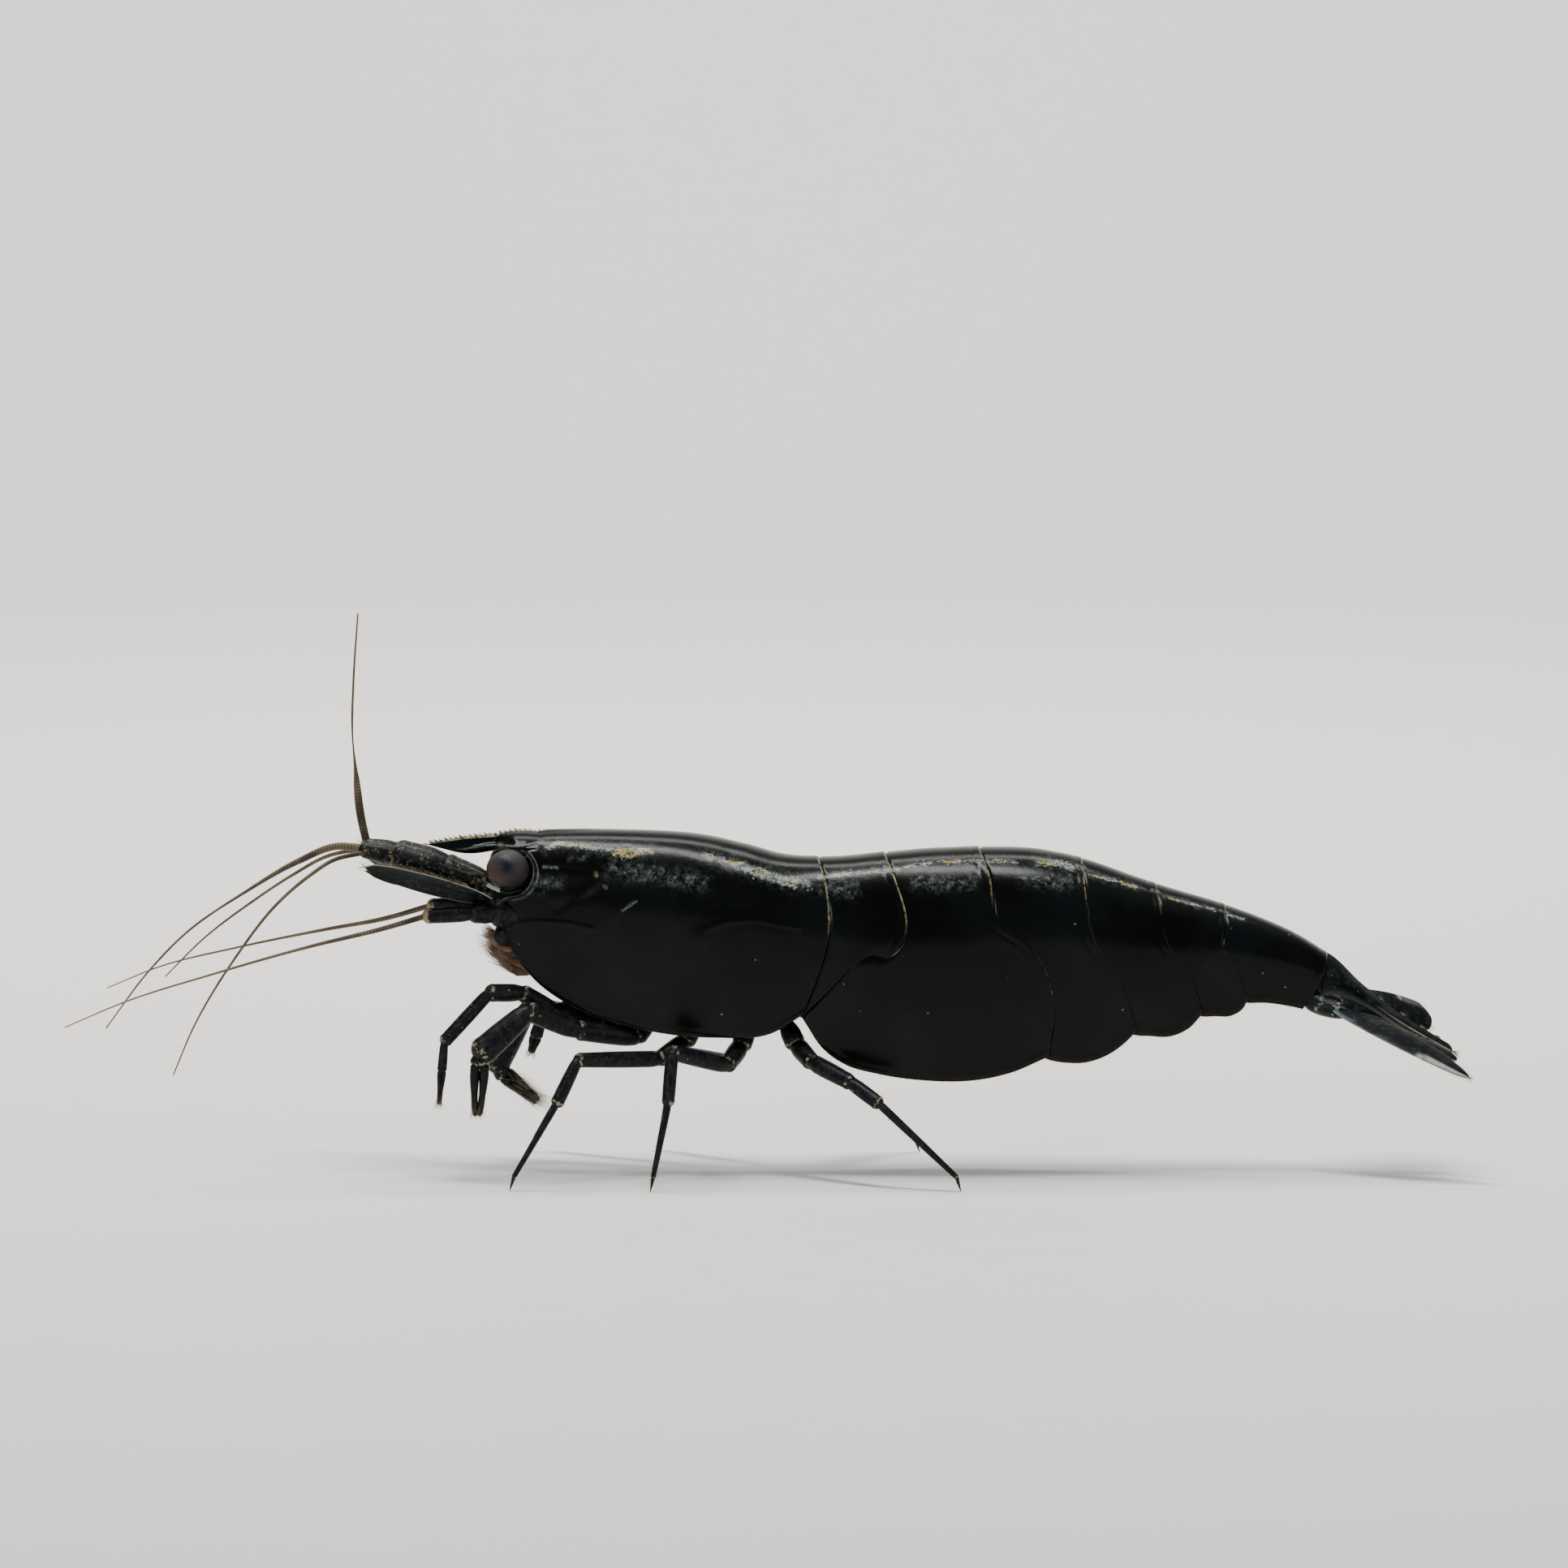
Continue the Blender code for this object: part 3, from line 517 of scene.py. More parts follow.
def bristles(name, beds, finish):
    """One coat piece of closed three-sided bristles: root + (tip - root) u + bend u^2, tapering.

    Each bed has a tile of the OFBake map, the unwrap of its sheet, with a patch at each root.
    """
    tiles = math.ceil(math.sqrt(len(beds)))
    for i, rows in enumerate(beds):
        rows[:, -2:] = (0.02 + 0.96 * rows[:, -2:] + (i % tiles, i // tiles)) / tiles
    root, tip, bend, thick, spot = np.split(np.concatenate(beds), [3, 6, 9, 10], axis=1)
    u = np.linspace(0, 1, HAIR_RINGS)[None, :, None]
    path = root[:, None] + (tip - root)[:, None] * u + bend[:, None] * u**2
    ahead = unit(tip - root)
    a = unit(np.cross(ahead, (0.31, 0.52, 0.79)))
    b = np.cross(ahead, a)
    turn = (np.arange(HAIR_SIDES) * 2 * math.pi / HAIR_SIDES)[None, :, None]
    ring = np.cos(turn) * a[:, None] + np.sin(turn) * b[:, None]
    size = thick[:, None] * (1 - (1 - TIP_SIZE) * u)
    points = path[:, :, None] + ring[:, None] * size[..., None]
    index = np.arange(points[..., 0].size).reshape(points.shape[:3])
    after = np.roll(index, -1, axis=2)
    quads = np.stack([index[:, :-1], after[:, :-1], after[:, 1:], index[:, 1:]], axis=-1)
    caps = np.concatenate([index[:, 0, ::-1], index[:, -1]])
    mesh = bpy.data.meshes.new(name)
    mesh.from_pydata((points.reshape(-1, 3) * MM).tolist(), [],
                     quads.reshape(-1, 4).tolist() + caps.tolist())
    shift = np.stack(np.meshgrid(np.linspace(-0.5, 0.5, HAIR_RINGS),
                                 np.linspace(-0.5, 0.5, HAIR_SIDES), indexing="ij"), axis=-1)
    places = (spot[:, None, None] + PATCH * shift).reshape(-1, 2)
    corners = np.concatenate([quads.ravel(), caps.ravel()])
    mesh.uv_layers.new(name="OFBake").uv.foreach_set("vector", places[corners].ravel())
    mesh.shade_smooth()
    return piece(name, mesh, [], finish)


def hair_coat(name, dark, pale):
    """Fine horny bristle, clear brown, lighter here and there."""
    made, tree, shader = coat(name, Specular_IOR_Level=0.25)
    drift = noise(tree, place(tree), 2.5, 3.0)
    finish_coat(tree, shader, tint(tree, rise(tree, drift, 0.35, 0.65), dark, pale),
                scaled(tree, drift, 0.2, 0.35))
    return made


DARK_HAIR = hair_coat("dark_bristle", (0.020, 0.014, 0.008), (0.060, 0.045, 0.026))
PALE_HAIR = hair_coat("pale_bristle", (0.16, 0.115, 0.07), (0.34, 0.27, 0.18))
BRUSH_HAIR = hair_coat("brush_bristle", (0.24, 0.185, 0.115), (0.44, 0.36, 0.25))


def shell_edges(k, front_reach, rear_reach):
    """Plate k's edges as (x, z) lines: joint lines moved forward and back, then back and rim."""
    front = offset(JOINT_LINES[k], -front_reach) if front_reach else np.array(JOINT_LINES[k])
    rear = offset(JOINT_LINES[k + 1], rear_reach)
    reach = np.linspace(front[0, 0], rear[0, 0], 15)
    back = np.stack([reach, line_height(BACK, reach)], axis=1)
    rim = np.array([front[-1], *RIMS[k][1:-1], rear[-1]])
    front[0], rear[0] = back[0], back[-1]
    return front, rear, back, rim


def shell_grid(k, rows, columns, front_reach, rear_reach):
    """Skin of plate k from the left rim over the back to the right rim.

    Seen from the side it is the Coons patch between the plate's four edges; the body's breadth
    gives y. Rows crowd towards both ends, and columns towards the back's line and the rims.
    """
    front, rear, back, rim = shell_edges(k, front_reach, rear_reach)
    u = crowded(rows)[:, None, None]
    t = (np.sin(np.linspace(0, math.pi / 2, columns)) ** 1.6)[None, :, None]
    ends = (1 - u) * along(front, t.ravel())[None] + u * along(rear, t.ravel())[None]
    sides = (1 - t) * along(back, u.ravel())[:, None] + t * along(rim, u.ravel())[:, None]
    corners = ((1 - u) * ((1 - t) * front[0] + t * front[-1])
               + u * ((1 - t) * rear[0] + t * rear[-1]))
    side = ends + sides - corners
    x, z = side[..., 0], side[..., 1]
    y = breadth(x, z)
    y[:, 0] = 0.0
    left = np.stack([x, -y, z], axis=-1)[:, ::-1]
    return np.concatenate([left, np.stack([x, y, z], axis=-1)[:, 1:]], axis=1)


# Marks on the flanks: routes of (x, z), each with a half width
# Routes of the painted highlight streaks along the upper flanks, with the pigment flecks in them
GLINT_ROUTES = [                 # pale and gold streaks
    ([(-6.48, 9.45), (-6.19, 9.58), (-5.72, 9.52), (-5.08, 9.44), (-4.51, 9.40), (-3.72, 9.40),
      (-3.50, 9.36)], 0.080),
    ([(-4.55, 9.31), (-4.10, 9.27), (-3.75, 9.33)], 0.090),
    ([(-1.95, 9.24), (-1.14, 9.05), (-0.37, 8.79), (0.28, 8.59), (0.99, 8.45)], 0.105),
    ([(-0.90, 8.88), (-0.10, 8.58), (0.60, 8.36)], 0.070),
    ([(1.25, 8.61), (2.09, 8.71), (3.19, 8.80), (3.90, 8.95), (4.80, 9.05), (5.96, 9.08)], 0.062),
    ([(6.1, 9.08), (6.9, 9.05)], 0.045), ([(7.55, 9.04), (8.10, 9.00), (8.60, 8.86)], 0.095),
    ([(8.92, 8.70), (9.50, 8.55), (9.95, 8.43), (10.4, 8.30)], 0.048),
    ([(11.18, 8.03), (12.15, 7.75), (12.6, 7.65)], 0.036), ([(12.99, 7.50), (13.44, 7.37)], 0.040),
]
CLOUD_ROUTES = [                 # grey-blue pigment
    ([(-4.60, 8.85), (-3.30, 8.72), (-2.10, 8.54)], 0.24), ([(-5.80, 9.12), (-5.40, 9.18)], 0.08),
    ([(1.45, 8.38), (2.25, 8.30)], 0.22), ([(4.1, 8.50), (5.6, 8.55)], 0.20),
    ([(7.2, 8.62), (8.4, 8.50)], 0.20), ([(-6.75, 8.40), (-6.25, 8.50)], 0.20),
]
# The first pale route is a painted glint, a thin green-white line low on the shield; the second is a
# pale line behind the eye.
PALE_ROUTES = [([(-4.32, 7.72), (-4.18, 7.83), (-3.97, 7.97)], 0.026),
               ([(-6.6, 8.93), (-6.2, 8.91)], 0.030)]
GOLD_ROUTES = [([(-5.10, 8.77), (-5.08, 8.69)], 0.030), ([(-4.87, 8.41), (-4.81, 8.37)], 0.030),
               ([(-1.97, 9.22), (-1.80, 9.15)], 0.050)]
FILM_DEPTHS = [0.39, 0.37, 0.24, 0.22, 0.18, 0.15, 0.13]  # how far down each rear line is gold
# back marks a painted sheen, and glint a painted highlight with pigment flecks in it; pale holds one
# painted glint.
SHELL_MARKS = ("back", "cloud", "glint", "film", "margin", "pale")
CLOUD, MARGIN, PALE = (SHELL_MARKS.index(name) for name in ("cloud", "margin", "pale"))


def strongest(grid, routes):
    """The strongest mark at each point of any of the routes, each with its own half width."""
    return np.max([near(grid, route, width) for route, width in routes], axis=0)


def shell_marks(grid, to_rear, to_rim, film_depth, film_width=0.055):
    """The marks of a plate's grid, each 0 to 1, in the order of SHELL_MARKS."""
    t = depth_share(grid[..., 0], grid[..., 2])
    # back: 1 along the top, where the painted sheen lies
    back = ramp(t, 0.16, -0.16)
    bright = strongest(grid, GLINT_ROUTES)
    wide = [(route, 2.2 * width) for route, width in GLINT_ROUTES]
    cloud = np.maximum(strongest(grid, CLOUD_ROUTES), 0.6 * strongest(grid, wide))
    fade = ramp(t, film_depth, -0.12)
    film = np.maximum(bell(to_rear, 0, film_width, 4) * fade, strongest(grid, GOLD_ROUTES))
    margin = bell(to_rim, 0, 0.16)
    return np.stack([back, cloud, bright, film, margin, 0.7 * strongest(grid, PALE_ROUTES)],
                    axis=-1)


def from_edges(grid):
    """Distances along the skin: from the front edge, to the rear edge, to the nearer rim."""
    to_rim = np.minimum(run_length(grid, 1), run_length(grid[:, ::-1], 1)[:, ::-1])
    return run_length(grid, 0), run_length(grid[::-1], 0)[::-1], to_rim


def carapace_grid(rows=190, columns=124):
    """The shield's skin: plate 0, with a keel, an eye rim, soft furrows and rolled edges."""
    grid = shell_grid(0, rows, columns, 0.0, OVERLAP)
    from_front, to_rear, to_rim = from_edges(grid)
    x, y = grid[..., 0], np.abs(grid[..., 1])
    upper = grid[..., 2] > 7.9
    keel = 0.05 * bell(y, 0, 0.14) * ramp(x, -4.4, -2.0)
    under_beak = ramp(grid[..., 2], 9.34, 0.16) * ramp(from_front, 0.78, -0.6)
    eye_rim = 0.060 * bell(from_front, 0.10, 0.07) * upper * (1 - under_beak)
    rim_bead = 0.016 * bell(to_rim, 0.14, 0.10)
    front_bead = 0.035 * bell(from_front, 0.12, 0.08) * ~upper
    groove = -0.014 * near(grid, [(-4.3, 9.35), (-4.75, 8.8), (-5.4, 8.25), (-6.2, 7.75)], 0.16)
    groove -= 0.015 * near(grid, [(-6.65, 8.92), (-6.1, 8.90), (-5.2, 8.82)], 0.07)
    arc = 0.014 * near(grid, [(-7.3, 7.3), (-6.75, 7.36), (-5.9, 7.33), (-5.19, 7.17)], 0.07)
    arc += 0.014 * near(grid, [(-1.9, 7.2), (-1.32, 7.41), (-0.55, 7.48), (0.72, 7.24)], 0.07)
    heart = -0.025 * near(grid, [(-1.2, 9.3), (-1.9, 8.4), (-2.1, 7.4)], 0.30)
    edge = np.minimum(np.minimum(from_front, to_rear), to_rim)
    relief = (keel * ramp(from_front, 0, 0.8) - 0.07 * np.minimum(under_beak, 1)
              + eye_rim + rim_bead + front_bead + groove + arc + heart - roll(edge, 0.055)
              + 0.015 * bell(to_rear, 0, 0.40))
    marks = shell_marks(grid, to_rear, to_rim, FILM_DEPTHS[0])
    marks[..., MARGIN] = np.maximum(marks[..., MARGIN], bell(from_front, 0, 0.10) * 0.9)
    orbit = (grid[..., 2] > 7.95) * (1 - np.minimum(under_beak, 1))
    rims = np.maximum(bell(from_front, 0.03, 0.025), 0.5 * bell(from_front, 0.17, 0.022))
    marks[..., PALE] = np.maximum(marks[..., PALE], orbit * rims)
    return np.concatenate([grid + outward(grid) * relief[..., None], marks], axis=-1)


def rostrum_grid():
    """The beak: half sections from crest to keel, mirrored, carried from the back to the tip.

    Each half section runs through its crest, blade, side ridge and lower edge. Towards the back
    it turns into the shield's own section, a hair proud of it, then sinks below its surface.
    The crest rises in 24 teeth that lean forward: each grows slowly and drops at its point.
    """
    teeth, tooth_start, tooth_end = 24, -6.45, -9.88
    height, lean, uneven = 0.090, 0.09, 0.22
    x = np.concatenate([np.linspace(-5.6, tooth_start, 14)[:-1],
                        np.linspace(tooth_start, tooth_end, teeth * 8 + 1)[:-1],
                        np.linspace(tooth_end, -9.985, 6)])
    station = [-9.99, -9.5, -8.96, -8.62, -8.12, -7.75, -7.4, -6.4, -5.6]
    crest = smooth_through(station, [9.475, 9.56, 9.655, 9.69, 9.735, 9.76, 9.79, 9.85, 9.87], x)
    low = smooth_through(station, [9.465, 9.33, 9.21, 9.20, 9.27, 9.32, 9.36, 9.40, 9.45], x)
    ridge_y = smooth_through(station, [0.004, 0.05, 0.12, 0.19, 0.29, 0.36, 0.50, 0.6, 0.6], x)
    ridge_z = smooth_through(station, [9.470, 9.40, 9.33, 9.39, 9.46, 9.48, 9.49, 9.63, 9.68], x)
    thick = smooth_through(station, [0.004, 0.04, 0.06, 0.075, 0.10, 0.13, 0.18, 0.3, 0.3], x)
    share = ramp(x, tooth_start, tooth_end - tooth_start) * teeth
    part_of_tooth = share % 1.0
    tooth = np.where(part_of_tooth < 0.75, (part_of_tooth / 0.75) ** 1.2,
                     (1 - part_of_tooth) / 0.25) * ((share > 0) & (share < teeth))
    zero = np.zeros_like(x)
    ys = [zero, 0.40 * thick, thick, thick + 0.3 * (ridge_y - thick), ridge_y, 0.6 * ridge_y,
          0.6 * thick, zero]
    drop = crest - ridge_z
    zs = [crest, crest - 0.04 * drop - 0.01, crest - 0.25 * drop, ridge_z + 0.30 * drop, ridge_z,
          ridge_z - 0.25 * (ridge_z - low), low + 0.15 * (ridge_z - low), low]
    keys = [0, 0.10, 0.28, 0.46, 0.60, 0.70, 0.92, 1.0]
    v = np.linspace(0, 1, 41)[:, None]
    y, z = smooth_through(keys, ys, v[:, 0]), smooth_through(keys, zs, v[:, 0])
    proud = 0.02 - 0.07 * ramp(x, -7.1, 0.75)
    roof = low + 0.02
    down = ramp(v, 0, 0.66)
    shell_z = line_height(BACK, x) + proud - (line_height(BACK, x) + proud - roof) * down**1.7
    shell_y = (breadth(x + 0 * v, shell_z - proud) + proud) * (down > 0)
    inward = ramp(v, 0.66, 0.34)
    shell_y, shell_z = shell_y * (1 - inward), shell_z + 0.08 * inward
    to_shell = eased(ramp(x, -8.05, 0.72))
    y, z = y + (shell_y - y) * to_shell, z + (shell_z - z) * to_shell
    outer = v < 0.69
    ridge = bell(z, ridge_z, 0.022) * outer * ramp(x, -9.15, 0.3) * ramp(x, -6.42, -0.25)
    y = y + 0.022 * ridge * to_shell
    knob = bell(x, -7.84, 0.055) * bell(z, 9.485, 0.05) * outer
    lift = ramp(v, 0.16, -0.16) * ramp(y, 0.117, -0.09) * tooth
    z = z + lift * height * (1 + uneven * np.sin(2.3 * np.floor(share)))
    gold = ramp(y, 0.102, -0.06) * (v < 0.2) * ramp(x, -6.4, -0.3)
    pale = np.minimum(0.8 * ridge + 0.9 * knob, 1)
    none = np.zeros_like(gold)
    half = np.stack([x - lift * lean, np.maximum(y, 0), z, none, none, none, gold, none, pale],
                    axis=-1).transpose(1, 0, 2)
    return np.concatenate([half, half[:, -2::-1] * (1, -1, 1, *[1] * len(SHELL_MARKS))], axis=1)


carapace, beak = carapace_grid(), rostrum_grid()
skin("carapace_shell", [carapace], ["carapace"], WET_SHELL, SHELL_MARKS, wall=WALL)
skin("rostrum_beak", [beak], ["rostrum"], WET_SHELL, SHELL_MARKS)
bristles("carapace_rim_bristles",
         [bed(carapace, np.linspace(0.03, 0.97, 70), rim, length=0.10, thick=0.006, lean=0.3,
              spread=0.2) for rim in (0, 1)], DARK_HAIR)
bristles("beak_bristles",
         [bed(beak, np.linspace(0.10, 0.97, 96), beside_crest, length=0.085, thick=0.007,
              lean=1.4, spread=0.25) for beside_crest in (0.025, 0.975)]
         + [bed(beak, 0.99, np.linspace(0, 1, 16), length=0.20, thick=0.006, spread=0.12,
                toward=(-1, 0, 0.05))],
         BRUSH_HAIR)


# Tail shell.
# Six hoops of the same shell, hinged on each other. Each slides under the hoop before it, on a
# gold film, but the broad side flap of the second lies over both its neighbours.

COVERED = 0.45                   # how far a hoop runs on forward under the one before it
SINK = 0.13                      # how deep it lies there
HOOP_ROWS = (60, 110, 80, 64, 60, 70)


def hoop_grid(k, rows, columns=96):
    """Skin of tail hoop k, sunk where a neighbour covers it and proud where it covers one."""
    grid = shell_grid(k, rows, columns, COVERED, OVERLAP if k < 6 else 0.0)
    from_front, to_rear, to_rim = from_edges(grid)
    flap = eased(ramp(depth_share(grid[..., 0], grid[..., 2]), 0.37, 0.18))
    front_sink = SINK * eased(ramp(from_front, 0.62, -0.22))
    rear_rise = (0.018 if k < 6 else 0.0) * bell(to_rear, 0, 0.45)
    if k == 1:
        front_sink = front_sink + 0.12 * flap**2 * ramp(to_rear, 0.61, -0.15)
    if k == 2:
        front_sink = front_sink * (1 - flap) ** 2 - 0.05 * flap * bell(from_front, 0, 0.4)
        rear_rise = rear_rise + 0.02 * flap * bell(to_rear, 0, 0.4)
    bead = 0.016 * bell(to_rim, 0.13, 0.10)
    furrow = -0.008 * bell(to_rear, 0.24, 0.07) * (1 - flap)
    edge = np.minimum(np.minimum(from_front, to_rear), to_rim)
    relief = bead + furrow + rear_rise - front_sink - roll(edge, 0.05)
    marks = shell_marks(grid, to_rear, to_rim, FILM_DEPTHS[k])
    if k == 2:
        rear_flap = bell(to_rear, 0, 0.045, 4) * flap
        marks[..., CLOUD] = np.maximum(marks[..., CLOUD], 0.45 * rear_flap)
    return np.concatenate([grid + outward(grid) * relief[..., None], marks], axis=-1)


hoop_beds = []
for k, rows in enumerate(HOOP_ROWS, 1):
    hoop = hoop_grid(k, rows)
    skin(f"tail_hoop_{k}", [hoop], [f"abdomen_{k}"], WET_SHELL, SHELL_MARKS, wall=WALL)
    if k > 1:
        hoop_beds += [bed(hoop, np.linspace(0.15, 0.95, 40), rim, length=0.11, thick=0.006,
                          lean=0.4, spread=0.2) for rim in (0, 1)]
bristles("tail_rim_bristles", hoop_beds, DARK_HAIR)


# Trunk and head under the shell.
# The soft underside that carries every limb: one skin from between the eyes to the tail's end. It
# is dark flesh, ribbed across below, where a bar of chitin joins each pair of legs.

FLESH_BLACK, FLESH_OLIVE = (0.0028, 0.0036, 0.0046), (0.014, 0.017, 0.016)
SPOT_GREEN, SPOT_TAN, BLOTCH_OLIVE = (0.20, 0.225, 0.145), (0.27, 0.20, 0.10), (0.17, 0.15, 0.075)
TIP_BROWN, SPECKLE_TAN = (0.040, 0.027, 0.016), (0.30, 0.25, 0.14)


def limb_coat(name, joint_share, speckle_share, brown_from, blotches=0.0, spots=None):
    """Dark limb skin: olive mottle, cream spots at the hinges, tan specks and browner tips."""
    made, tree, shader = coat(name, Specular_IOR_Level=0.12)
    spot = place(tree)
    grain = put_group(tree, GRAIN, spot, Pits=0.045, Swell=0.16)
    colour = tint(tree, rise(tree, grain["Mottle"], 0.45, 0.70), FLESH_BLACK, FLESH_OLIVE)
    brown = times(tree, rise(tree, mark(tree, "outer"), brown_from, 1.05),
                  rise(tree, grain["Mottle"], 0.25, 0.60))
    colour = tint(tree, brown, colour, TIP_BROWN)
    lichen = noise(tree, spot, 5.0, 6.0, 0.7)
    colour = tint(tree, rise(tree, lichen, 0.57, 0.63), colour, BLOTCH_OLIVE, blotches)
    specks = put_group(tree, FLECKS, spot, Size=0.060, Share=speckle_share)
    colour = tint(tree, specks["Mask"], colour, SPECKLE_TAN, 0.6)
    ragged = noise(tree, spot, 8.0, 3.0)
    joint = times(tree, mark(tree, "joint"), joint_share)
    cream = rise(tree, plus(tree, joint, times(tree, ragged, 2.2)), 1.88, 2.22)
    pale = tint(tree, rise(tree, lichen, 0.44, 0.54), *(spots or (SPOT_GREEN, SPOT_TAN)))
    colour = tint(tree, cream, colour, pale, 0.9)
    rough = scaled(tree, grain["Mottle"], 0.25, 0.26)
    finish_coat(tree, shader, colour, rough, grain["Height"], relief=0.014)
    return made


LIMB_SKIN = limb_coat("limb_skin", joint_share=0.85, speckle_share=0.004, brown_from=0.92)
TRUNK_SKIN = limb_coat("trunk_skin", joint_share=0.0, speckle_share=0.008, brown_from=1.0)
LIMB_MARKS = ("joint", "outer")


def tapered_ends(distance, cap):
    """Size of a rounded end: 0 at the end, full from cap mm inwards, as a quarter ellipse."""
    return np.sqrt(1 - (1 - ramp(distance, 0, cap)) ** 2)


def full_turn(columns):
    """Cosines and sines of the angles once round in equal steps, the last as the first."""
    angles = np.linspace(0, 2 * math.pi, columns + 1)
    return np.cos(angles), np.sin(angles)


def trunk_grid(rows=260, columns=64):
    """Rounded rings across the body along X, with both ends drawn to a point, ribbed below."""
    rib_depth, rib_step, squareness = 0.05, 1.25, 0.85
    stations = np.array([         # x, belly, back, half width
        (-8.28, 7.60, 8.42, 0.34), (-7.95, 7.15, 8.84, 0.46), (-7.50, 6.90, 9.02, 0.48),
        (-7.10, 6.55, 9.10, 0.52), (-6.40, 5.90, 9.00, 0.68), (-5.20, 5.00, 8.60, 0.85),
        (-3.80, 4.55, 8.40, 0.96), (-1.70, 4.36, 8.20, 1.00), (0.00, 4.50, 8.10, 0.98),
        (1.00, 4.95, 8.10, 0.98), (2.20, 5.45, 8.20, 1.02), (4.50, 5.62, 8.35, 1.12),
        (7.00, 5.70, 8.20, 1.12), (9.80, 5.85, 7.60, 0.98), (12.0, 5.68, 7.00, 0.80),
        (14.0, 5.42, 6.60, 0.66), (15.7, 5.20, 6.05, 0.50)])
    x = np.linspace(stations[0, 0], stations[-1, 0], rows)
    low, high, half = smooth_through(stations[:, 0], stations[:, 1:], x).T[..., None]
    ends = (tapered_ends(x - x[0], 0.30) * tapered_ends(x[-1] - x, 0.35))[:, None]
    c, s = full_turn(columns)
    rib = rib_depth * np.cos(2 * math.pi * x / rib_step)[:, None] * np.clip(-s, 0, 1) ** 2
    y = half * np.sign(c) * np.abs(c) ** squareness * ends
    z = (low + high) / 2 + (high - low) / 2 * ends * np.sign(s) * np.abs(s) ** squareness
    return np.stack(np.broadcast_arrays(x[:, None], y, z + rib * ends, 0.0, 0.0), axis=-1)


skin("trunk_and_head", [trunk_grid()], ["thorax", "head"], TRUNK_SKIN, LIMB_MARKS)


# Eyes.
# Round stalked eyes on each side of the beak. The clear horny lens is fine-faceted and softly
# shining, mauve-grey over dark pigment, and sits in the cup at the stalk's end.

EYE_RADIUS, EYE_STRETCH, FACET = 0.58, (1.06, 1.0, 0.94), 0.042
EYE_MAUVE, EYE_ROSE = (0.047, 0.039, 0.041), (0.076, 0.048, 0.037)
EYE_SHEEN_VIOLET, EYE_DARK_AND_SHADE = (0.036, 0.042, 0.068), (0.012, 0.010, 0.010)
EYE_BLUE = (0.005, 0.008, 0.014)


def eye_coat():
    """Faceted eye: mauve, rosy below in front, a painted violet sheen above, a dark rim with painted
    shade low behind, and a deep blue centre.
    """
    made, tree, shader = coat("faceted_eye", Specular_IOR_Level=0.10)
    spot = place(tree)
    facets = node(tree, "TexVoronoi", {"Vector": spot, "Scale": 1 / FACET}).outputs["Distance"]
    cloudy = noise(tree, spot, 3.2, 5.0)
    colour = tint(tree, rise(tree, mark(tree, "rosy"), 0.0, 1.0), EYE_MAUVE, EYE_ROSE)
    # Painted highlight: the violet sheen high on the lens.
    colour = tint(tree, mark(tree, "violet"), colour, EYE_SHEEN_VIOLET, 0.8)
    colour = tint(tree, rise(tree, cloudy, 0.45, 0.75), colour, EYE_DARK_AND_SHADE, 0.35)
    # The dark rim, with painted shade low behind.
    colour = tint(tree, mark(tree, "rim"), colour, EYE_DARK_AND_SHADE, 0.9)
    colour = tint(tree, mark(tree, "pupil"), colour, EYE_BLUE)
    colour = tint(tree, rise(tree, facets, 0.35, 0.62), colour, EYE_DARK_AND_SHADE, 0.30)
    rough = scaled(tree, cloudy, 0.15, 0.24)
    finish_coat(tree, shader, colour, rough, times(tree, facets, -1.0), relief=0.005)
    return made


# Skin of the thin pad below each eye: its green-white spots are a painted highlight, the glint below
# the eye.
PAINTED_GLINT_SKIN = limb_coat("painted_glint_skin", joint_share=0.9, speckle_share=0.0, brown_from=1.0,
                     spots=((0.30, 0.42, 0.29), (0.22, 0.30, 0.20)))


def sleeve(path, radii, columns=18, side=(0, 1, 0), flat=1.0, marks=()):
    """Rings carried along a path, square to it; a zero radius closes an end.

    Each ring starts at side, made square to the path; flat scales it that way. Each mark is one
    value, or a value for each ring.
    """
    path, side = np.asarray(path, float), np.asarray(side, float)
    ahead = unit(np.gradient(path, axis=0))
    a = unit(side - (ahead @ side)[:, None] * ahead)
    b = np.cross(ahead, a)
    c, s = (v[:, None] for v in full_turn(columns))
    ring = c * a[:, None] * flat + s * b[:, None]
    grid = path[:, None] + ring * np.asarray(radii)[:, None, None]
    carried = [np.broadcast_to(np.reshape(np.asarray(m, float), (-1, 1, 1)), (*grid.shape[:2], 1))
               for m in marks]
    return np.concatenate([grid, *carried], axis=-1)


